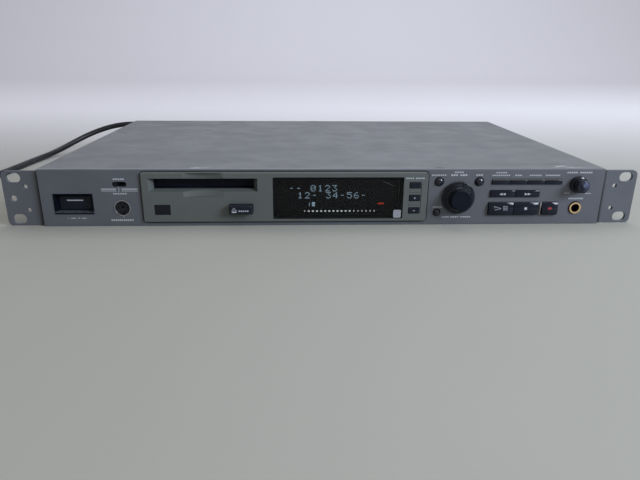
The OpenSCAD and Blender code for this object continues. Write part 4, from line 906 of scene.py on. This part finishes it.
class DECK_OT_display(bpy.types.Operator):
    """Smoked window, the display tube behind it and its lit marks"""

    bl_idname = "deck.display"
    bl_label = "Display"

    def execute(self, context):
        coat(smoked(), "display_window")
        soften("display_window", 0.25)
        glass = finish("tube_glass", (0.002, 0.0025, 0.003), (0.5, 0.6), mottle=(50, 0.2), grain=(900, 0.002),
                       specular=0.1)
        coat(glass, "display_tube")
        self.border()
        self.lit_marks()
        front = depths_of("display_window")[0]
        plate = ring_plate((54.1, 9.3), 6.0, 6.4, flat(front))
        marks("window_plate", plate, printed("plate_grey", (0.22, 0.23, 0.26)), "chassis")
        scratch = [patch([[42, 35], [50, 31.4], [50, 31.55], [42, 35.15]], flat(front), 3, 0.03)]
        marks("window_scratch", scratch, printed("scratch_grey", (0.10, 0.11, 0.13)), "chassis")
        return {"FINISHED"}

    def border(self):
        """Black print round the window's back: a band between its outline and the tube's opening."""
        x, z = middle_of("display_window")
        back = depths_of("display_window")[1] - 0.03
        half_w, half_h = half_of("display_window")
        k = np.linspace(0, 1, 4)[:, None]
        outer = superellipse(half_w - 0.05, half_h - 0.05, 24, 96)
        inner = superellipse(half_w - 2.5, half_h - 2.5, 60, 96)
        xz = outer[None] * (1 - k[..., None]) + inner[None] * k[..., None] + np.array([x, z])
        points = np.stack([xz[..., 0], np.full(xz.shape[:2], back), xz[..., 1]], -1).reshape(-1, 3)
        band = [(points, grid_faces(4, 96, around_cols=True).tolist())]
        ink = finish("border_ink", (0.002, 0.0022, 0.003), (0.6, 0.7), mottle=(50, 0.2), specular=0.1)
        marks("window_border", band, ink, "chassis")

    def lit_marks(self):
        """Dots, blocks and dashes on the tube's face, set along the camera's lines of sight."""
        depth = depths_of("display_tube")[0]
        face = flat(depth)
        grow = 1 + depth / -CAMERA_AT[1]
        lit = glowing("lit_dots", settings().lit, settings().lit_strength)
        parts = dot_text("-- 0123", -28.9, 26.8, 3.8, 4.9, 5.45, face)
        parts += dot_text("12- 34-56-", -22.3, 21.3, 3.8, 4.9, 5.35, face)
        parts += [bar(-11.5, -9.2, 17.0, 18.4, face), bar(-11.5, -9.2, 15.2, 16.6, face),
                  bar(-13.7, -13.3, 15.2, 18, face)]
        scale = []
        for k in range(18):
            x = -17 + k * 53.5 / 17
            half = 0.7 if 1 <= k < 12 else 0.35
            scale.append(bar(x - half, x + half, 10.7, 11.9, face))
        for name, group, material in (
                ("display_dots", parts, lit),
                ("display_scale", scale, glowing("lit_scale", (0.75, 0.82, 0.85), settings().lit_strength)),
                ("display_red", [bar(39, 43.8, 16.5, 17.8, face)],
                 glowing("lit_red", (1.0, 0.08, 0.03), settings().lit_strength * 0.42))):
            seen = [(np.asarray(p) * [1, 0, 1] + (np.asarray(p) - CAMERA_AT) * [grow - 1, 0, grow - 1]
                     + np.asarray(p) * [0, 1, 0], f) for p, f in group]
            marks(name, seen, material, "chassis")


def ring_plate(at, w, h, face):
    """A plain printed plate with round corners: a superellipse shrunk to its middle in steps."""
    outline = superellipse(w / 2, h / 2, 6, 32)
    shrink = np.linspace(1, 0.001, 5)[:, None, None]
    xz = outline[None] * shrink + np.array(at, float)
    x, z = xz[..., 0], xz[..., 1]
    points = np.stack([x, face(x, z) - 0.04, z], -1).reshape(-1, 3)
    return [(points, grid_faces(5, 32, around_cols=True).tolist())]


# ---------------------------------------------------------------- keys


# How round the keys' fronts are, as a radius
SEARCH_BULGE = 8.0
PLAY_BULGE = 13.0


def key_face(node, bulge):
    """A key's front as a function of x and z: a cylinder along x of the given radius, at the key."""
    lo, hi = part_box(node)
    front = depths_of(node)[0]
    middle = (lo.z + hi.z) / 2 / MM - 0.08 * (hi.z - lo.z - 1.6 * MM) / MM

    def face(x, z):
        return front + bulge - np.sqrt(np.maximum(bulge**2 - (z - middle) ** 2, 0.01))

    return face


def sign_place(node, bulge=None):
    """The x and z of a key's middle, and its face, which is flat where no bulge is given."""
    return (*middle_of(node), key_face(node, bulge) if bulge else flat(depths_of(node)[0]))


class DECK_OT_keys(bpy.types.Operator):
    """Power button, selector, eject button and every key, with their marks"""

    bl_idname = "deck.keys"
    bl_label = "Keys"

    def execute(self, context):
        black = finish("key_black", settings().black, (0.09, 0.14), mottle=(120, 0.12), grain=(2200, 0.001),
                       specular=0.26)
        satin = finish("switch_black", [c * 0.8 for c in settings().black], (0.32, 0.44), mottle=(120, 0.12),
                       grain=(2200, 0.01), specular=0.22)
        keys = ["speed_key", "speed_up_key", "speed_down_key", "display_key", "time_key", "locate_key",
                "cue_key", "rewind_key", "forward_key", "play_key", "stop_key", "record_key", "eject_button"]
        coat(black, *keys)
        coat(satin, "power_button", "selector_lever")
        frame_black = finish("frame_black", [0.5 * c for c in settings().black], (0.36, 0.48),
                             mottle=(120, 0.12), grain=(2200, 0.01), specular=0.03)
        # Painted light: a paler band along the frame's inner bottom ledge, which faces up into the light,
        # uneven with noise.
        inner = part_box("power_frame")[0].z + 1.55 * MM
        tree = frame_black.node_tree
        painted_ledge_light = times(tree, near(tree, "Z", inner, 0.0005, 0.0002), between(tree, noise(tree, 300, 3), 0.6, 1))
        stained(frame_black, painted_ledge_light, (0.05, 0.054, 0.068))
        coat(frame_black, "power_frame")
        for name in keys:
            soften(name, 0.22)
        soften("power_button", 0.35)
        soften("power_frame", 0.3)
        soften("selector_lever", 0.2)
        self.round_buttons(finish("button_gloss", settings().black, (0.06, 0.1), mottle=(120, 0.1),
                                  grain=(2500, 0.001), specular=0.5))
        self.symbols()
        self.divider()
        return {"FINISHED"}

    def round_buttons(self, black):
        """Domed buttons turned about their middles: radius R sin t, height R (1 - cos t)."""
        for node in ("menu_button", "enter_button", "clear_button"):
            x, z = middle_of(node)
            r = half_of(node)[0] - 0.8
            front, back = depths_of(node)
            out = -front
            dome = (r * r + out * out) / (2 * out)
            t = np.linspace(0, math.asin(r / dome), 14)
            profile = np.stack([dome * np.sin(t), front + dome * (1 - np.cos(t))], 1).tolist()
            profile += [[r, 3.9], [r + 0.8, 3.9], [r + 0.8, 4.8], [1.5, 4.8], [1.5, back], [0, back]]
            piece = build(node + "_cap", [lathe((x, 0, z), profile, 48)], black, node,
                          sharp=35)
            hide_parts(node)

    def symbols(self):
        """Generic signs for the transport keys, plus and minus, and the eject sign."""
        white = FINISHES["print"]
        for node, way in (("rewind_key", -1), ("forward_key", 1)):
            x, z, face = sign_place(node, SEARCH_BULGE)
            sign = [triangle([c + 1.45 * way, z - 0.2], [c - way, z + 0.8], [c - way, z - 1.2], face)
                    for c in (x - 1.3, x + 1.1)]
            marks(node.replace("key", "sign"), sign, white, node)
        x, z, face = sign_place("play_key", PLAY_BULGE)
        dim = printed("sign_dim", [c * 0.8 for c in settings().print_colour])
        z += 0.7
        tip, top, low = [x - 0.2, z - 0.2], [x - 5.8, z + 1.4], [x - 4.6, z - 1.4]
        play = [self.stroke(tip, top, 0.32, face), self.stroke(top, low, 0.14, face),
                self.stroke(low, tip, 0.32, face)]
        for c in (x + 2.2, x + 4.1):
            play += [bar(c - 0.65, c - 0.4, z - 1.6, z + 1.6, face),
                     bar(c + 0.4, c + 0.65, z - 1.6, z + 1.6, face)]
            play += [bar(c - 0.65, c + 0.65, z + w - 0.12, z + w + 0.12, face) for w in (-1.5, 0, 1.5)]
        marks("play_sign", play, dim, "play_key")
        x, z, face = sign_place("stop_key", PLAY_BULGE)
        marks("stop_sign", [bar(x - 1.35, x + 0.65, z - 0.6, z + 1.4, face)], white, "stop_key")
        x, z, face = sign_place("record_key", PLAY_BULGE)
        dot = [ellipse_mark((x - 0.1, z + 0.35), 1.6, 1.0, face)]
        marks("record_sign", dot, printed("print_red", (0.26, 0.012, 0.02)), "record_key")
        self.small_signs(white)

    def small_signs(self, white):
        """Plus and minus, the eject sign with its dashes, and a bar on the power button."""
        x, z, face = sign_place("speed_up_key")
        plus = [bar(x - 0.75, x + 0.75, z - 0.2, z + 0.2, face),
                bar(x - 0.2, x + 0.2, z - 0.75, z + 0.75, face)]
        marks("up_sign", plus, white, "speed_up_key")
        x, z, face = sign_place("speed_down_key")
        minus = [bar(x - 0.8, x + 0.8, z - 0.22, z + 0.22, face)]
        marks("down_sign", minus, white, "speed_down_key")
        x, z, face = sign_place("eject_button")
        top, left, right = [x - 4.9, z + 1.9], [x - 6.7, z - 0.3], [x - 3.1, z - 0.3]
        eject = [self.stroke(top, left, 0.3, face), self.stroke(left, right, 0.3, face),
                 self.stroke(right, top, 0.3, face), bar(x - 6.7, x - 3.1, z - 1.8, z - 0.9, face)]
        eject += dashes([[x - 1.6, x + 5.7, z - 0.5, 0.85]], face)
        marks("eject_sign", eject, white, "eject_button")
        x, z, face = sign_place("power_button")
        sign = [bar(x - 6, x + 6, z + 1.6, z + 2.5, face)]
        marks("power_sign", sign, white, "power_button")

    def stroke(self, a, b, w, face):
        """A straight printed stroke of width w from a to b."""
        a, b = np.array(a, float), np.array(b, float)
        side = np.array([-(b - a)[1], (b - a)[0]])
        side *= w / 2 / np.linalg.norm(side)
        return patch([a - side, b - side, b + side, a + side], face)

    def divider(self):
        """A pale rib between the stop key and the record key, rounded at its front."""
        lo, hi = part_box("stop_key")
        x1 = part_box("record_key")[0].x / MM - 0.35
        x0 = x1 - 1.1
        z0, z1 = lo.z / MM + 0.8, hi.z / MM - 0.8
        half, at = (z1 - z0) / 2, ((x0 + x1) / 2, (z0 + z1) / 2)
        w = (x1 - x0) / 2
        outlines = [superellipse(w * k, half * j, 6, 32) for k, j in
                    ((0.5, 0.96), (0.85, 0.985), (1, 1), (1, 1))]
        pale = finish("divider_pale", (0.26, 0.24, 0.25), (0.4, 0.5), mottle=(200, 0.08))
        rib = loft(outlines, [-1.3, -1.1, -0.8, 0.02], (at[0], 0, at[1]))
        build("key_divider", [rib], pale, "chassis", sharp=50)


# ---------------------------------------------------------------- knobs


class DECK_OT_knobs(bpy.types.Operator):
    """Jog dial and phones level knob"""

    bl_idname = "deck.knobs"
    bl_label = "Knobs"

    def execute(self, context):
        gloss = finish("knob_gloss", [c * 0.6 for c in settings().black], (0.12, 0.18), mottle=(90, 0.1),
                       grain=(2500, 0.0005), specular=0.3)
        matte = finish("knob_face", (0.0035, 0.005, 0.010), (0.36, 0.5), mottle=(60, 0.12),
                       grain=(1500, 0.008), specular=0.13)
        self.jog(gloss, matte)
        self.level(gloss)
        coat(finish("plunger_white", (0.6, 0.6, 0.58), (0.4, 0.5)), "dial_plunger")
        return {"FINISHED"}

    def jog(self, gloss, matte):
        """A stepped skirt and a tapered grip, each a profile turned about the dial's axis."""
        x, z = middle_of("jog_dial")
        front, shaft = depths_of("jog_dial")
        out, r0 = -front, half_of("jog_dial")[0]
        back = 0.7
        skirt = [[0, shaft], [3, shaft], [3, -back], [r0 - 0.6, -back]]
        skirt += arc((r0 - 0.5, -back - 0.5), 0.5, 90, 0, 5) + [[r0, -back - 1]]
        skirt += arc((r0 - 0.8, -back - 1.2), 0.8, 0, -70, 7)
        skirt += [[r0 - 1.7, -back - 2.1]] + arc((r0 - 2.4, -back - 2.6), 0.6, 40, -30, 6)
        skirt += [[10.4, -4.2], [9.2, -5.0], [8.6, -6.0], [8.2, -7.6]]
        grip = [[8.2, -7.6], [8.1, -out + 1.4]] + arc((7.2, -out + 0.9), 0.9, 0, -90, 8)
        grip += [[6.6, -out], [0, -out]]
        piece = build("jog_skirt", [lathe((x, 0, z), skirt, 96)], gloss, "jog_dial",
                      sharp=50)
        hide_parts("jog_dial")
        build("jog_cap", [lathe((x, 0, z), grip, 96)], matte, "jog_dial", sharp=60)

    def level(self, gloss):
        """A small knob with a rounded skirt, a cone and a flat paler face."""
        x, z = middle_of("level_knob")
        front, shaft = depths_of("level_knob")
        out, r0 = -front, half_of("level_knob")[0]
        body = [[0, shaft], [3, shaft], [3, -0.3], [r0 - 0.3, -0.3]] + arc((r0 - 0.4, -0.8), 0.4, 60, 0, 4)
        body += [[r0, -1.8]] + arc((r0 - 0.7, -1.9), 0.7, 0, -60, 6)
        body += [[5.3, -3.1], [5.0, -5.5], [4.85, -out + 0.7]] + arc((4.4, -out + 0.45), 0.45, 0, -80, 6)
        body += [[4.42, -out + 0.01], [0, -out + 0.3]]
        face = [[4.42, -out + 0.01], [0, -out + 0.12], [0, -out + 0.25]]
        piece = build("level_body", [lathe((x, 0, z), body, 72)], gloss, "level_knob",
                      sharp=50)
        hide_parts("level_knob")
        grey = finish("knob_top", (0.042, 0.053, 0.105), (0.38, 0.5), mottle=(200, 0.12), grain=(1800, 0.01))
        build("level_face", [lathe((x, 0, z), face, 72)], grey, "level_knob")
        dot = [bar(x - 0.25, x + 0.25, z + 2.2, z + 4.0, flat(-out + 0.05))]
        marks("level_pointer", dot, FINISHES["print"], "level_knob")


# ---------------------------------------------------------------- sockets


class DECK_OT_sockets(bpy.types.Operator):
    """Keyboard socket, phones socket and the sockets at the back"""

    bl_idname = "deck.sockets"
    bl_label = "Sockets"

    def execute(self, context):
        brass = metallic("socket_brass", (0.80, 0.58, 0.33), (0.12, 0.22), mottle=(300, 0.08),
                         grain=(400, 0.001))
        black = finish("socket_black", (0.006, 0.007, 0.010), (0.35, 0.5), mottle=(200, 0.15),
                       grain=(1500, 0.01), specular=0.3)
        ring = metallic("ring_nickel", (0.45, 0.46, 0.50), (0.25, 0.35), mottle=(300, 0.08),
                        grain=(300, 0.001))
        coat(ring, "keyboard_shell")
        coat(brass, "phones_bush")
        coat(black, "keyboard_insert", "phones_socket", "audio_sockets", "optical_sockets")
        coat(metallic("port_nickel", (0.6, 0.59, 0.56), (0.2, 0.3), mottle=(200, 0.08)), "control_port")
        soften("control_port", 0.3)
        soften("keyboard_shell", 0.15)
        soften("phones_bush", 0.25, 3)
        self.phono_rings()
        self.optical_flaps()
        self.port_face()
        return {"FINISHED"}

    def phono_rings(self):
        """Nickel sleeves over the phono shells, and a coloured ring round each centre hole."""
        nickel = metallic("phono_nickel", (0.75, 0.72, 0.62), (0.15, 0.25), mottle=(300, 0.06))
        red = finish("phono_red", (0.55, 0.02, 0.02), (0.35, 0.45), mottle=(300, 0.08))
        white = finish("phono_white", (0.75, 0.74, 0.7), (0.35, 0.45), mottle=(300, 0.05))
        end = depths_of("audio_sockets")[1]
        sleeves, reds, whites = [], [], []
        for x in (50, 80, 96):
            for z in (14, 29):
                profile = [[4.18, end - 8.4], [4.24, end - 8.2], [4.24, end - 0.4], [4.0, end + 0.06],
                           [3.4, end + 0.06], [3.3, end - 0.2]]
                sleeves.append(lathe((x, 0, z), profile, 48))
                ring = [[3.3, end + 0.02], [3.2, end + 0.12], [1.85, end + 0.12], [1.75, end - 0.1]]
                (reds if z < 20 else whites).append(lathe((x, 0, z), ring, 48))
        build("phono_sleeves", [open_lathe(p) for p in sleeves], nickel, "chassis")
        build("phono_rings_red", [open_lathe(p) for p in reds], red, "chassis")
        build("phono_rings_white", [open_lathe(p) for p in whites], white, "chassis")

    def optical_flaps(self):
        """The optical sockets' spring flaps, domed: their depth falls with the square of the distance."""
        flap = finish("optical_flap", (0.03, 0.03, 0.032), (0.25, 0.35), mottle=(100, 0.15))
        parts = []
        y0 = BACK + 0.55
        for x in (8, 25):
            u, v = np.meshgrid(np.linspace(-3.3, 3.3, 9), np.linspace(-3.3, 3.3, 9), indexing="ij")
            points = np.stack([x + u, y0 + 0.35 - 0.03 * (u**2 + v**2), 14 + v], -1).reshape(-1, 3)
            parts.append((points, grid_faces(9, 9).tolist()))
        piece = marks("optical_flaps", parts, flap, "chassis")
        piece.data.flip_normals()

    def port_face(self):
        """The control port's dark insulator with nine small gold contacts, in two rows."""
        x, z = middle_of("control_port")
        y = depths_of("control_port")[1]
        dark = finish("port_insulator", (0.012, 0.012, 0.014), (0.4, 0.5))
        outline = [superellipse(7.4, 3.4, 7, 40), superellipse(7.2, 3.2, 7, 40)]
        build("port_insulator", [loft(outline, [y - 0.02, y + 0.15], (x, 0, z))], dark, "chassis")
        gold = metallic("contact_gold", (0.85, 0.6, 0.2), (0.2, 0.3))
        pins = []
        for row, count in ((1.35, 5), (-1.35, 4)):
            for k in range(count):
                pins.append(lathe((x + (k - (count - 1) / 2) * 2.75, 0, z + row),
                                  [[0.55, y + 0.1], [0.5, y + 0.22], [0, y + 0.22]], 12))
        build("port_contacts", pins, gold, "chassis")


def open_lathe(part):
    """A turned shape without its end caps, as a thin skin over a solid."""
    points, faces = part
    return points, [f for f in faces if len(f) <= 4]


# ---------------------------------------------------------------- inside


class DECK_OT_inside(bpy.types.Operator):
    """Boards, supply and disc drive"""

    bl_idname = "deck.inside"
    bl_label = "Inside"

    def execute(self, context):
        coat(circuit_board(), "control_board", "main_board", "supply_board")
        coat(finish("component", (0.02, 0.02, 0.022), (0.35, 0.5), mottle=(200, 0.2)), "board_parts",
             "panel_switches")
        coat(metallic("plated_steel", (0.5, 0.5, 0.48), (0.3, 0.4), mottle=(30, 0.12)), "drive_frame",
             "cartridge_holder", "rotary_controls", "drive_motors")
        coat(metallic("ground_steel", (0.66, 0.66, 0.65), (0.12, 0.2), mottle=(80, 0.05)), "guide_rods",
             "lead_screw", "head_arm")
        coat(finish("core_iron", (0.09, 0.07, 0.05), (0.5, 0.6), mottle=(300, 0.25), stretch=(1, 14, 1)),
             "transformer")
        coat(finish("sled_black", (0.03, 0.03, 0.032), (0.45, 0.55)), "pickup_sled")
        coat(finish("turntable_white", (0.62, 0.62, 0.6), (0.35, 0.45)), "turntable")
        return {"FINISHED"}


# ---------------------------------------------------------------- panel and registration


class DECK_PT_sidebar(bpy.types.Panel):
    """Lists the deck's operators and settings"""

    bl_idname = "DECK_PT_sidebar"
    bl_label = "Disc deck"
    bl_space_type = "VIEW_3D"
    bl_region_type = "UI"
    bl_category = "Deck"

    def draw(self, context):
        for operator in OPERATORS:
            self.layout.operator(operator.bl_idname)
        for name in DeckSettings.__annotations__:
            self.layout.prop(context.scene.deck_settings, name)


OPERATORS = (DECK_OT_stage, DECK_OT_cord, DECK_OT_case, DECK_OT_panel, DECK_OT_bezel, DECK_OT_display,
             DECK_OT_keys, DECK_OT_knobs, DECK_OT_sockets, DECK_OT_inside)
CLASSES = (DeckSettings, *OPERATORS, DECK_PT_sidebar)


def register():
    for cls in CLASSES:
        bpy.utils.register_class(cls)
    bpy.types.Scene.deck_settings = bpy.props.PointerProperty(type=DeckSettings)


def unregister():
    del bpy.types.Scene.deck_settings
    for cls in reversed(CLASSES):
        bpy.utils.unregister_class(cls)


def main():
    register()
    for operator in OPERATORS:
        group, name = operator.bl_idname.split(".")
        if getattr(getattr(bpy.ops, group), name)() != {"FINISHED"}:
            raise RuntimeError(operator.bl_label + " did not finish")


if __name__ == "__main__":
    main()
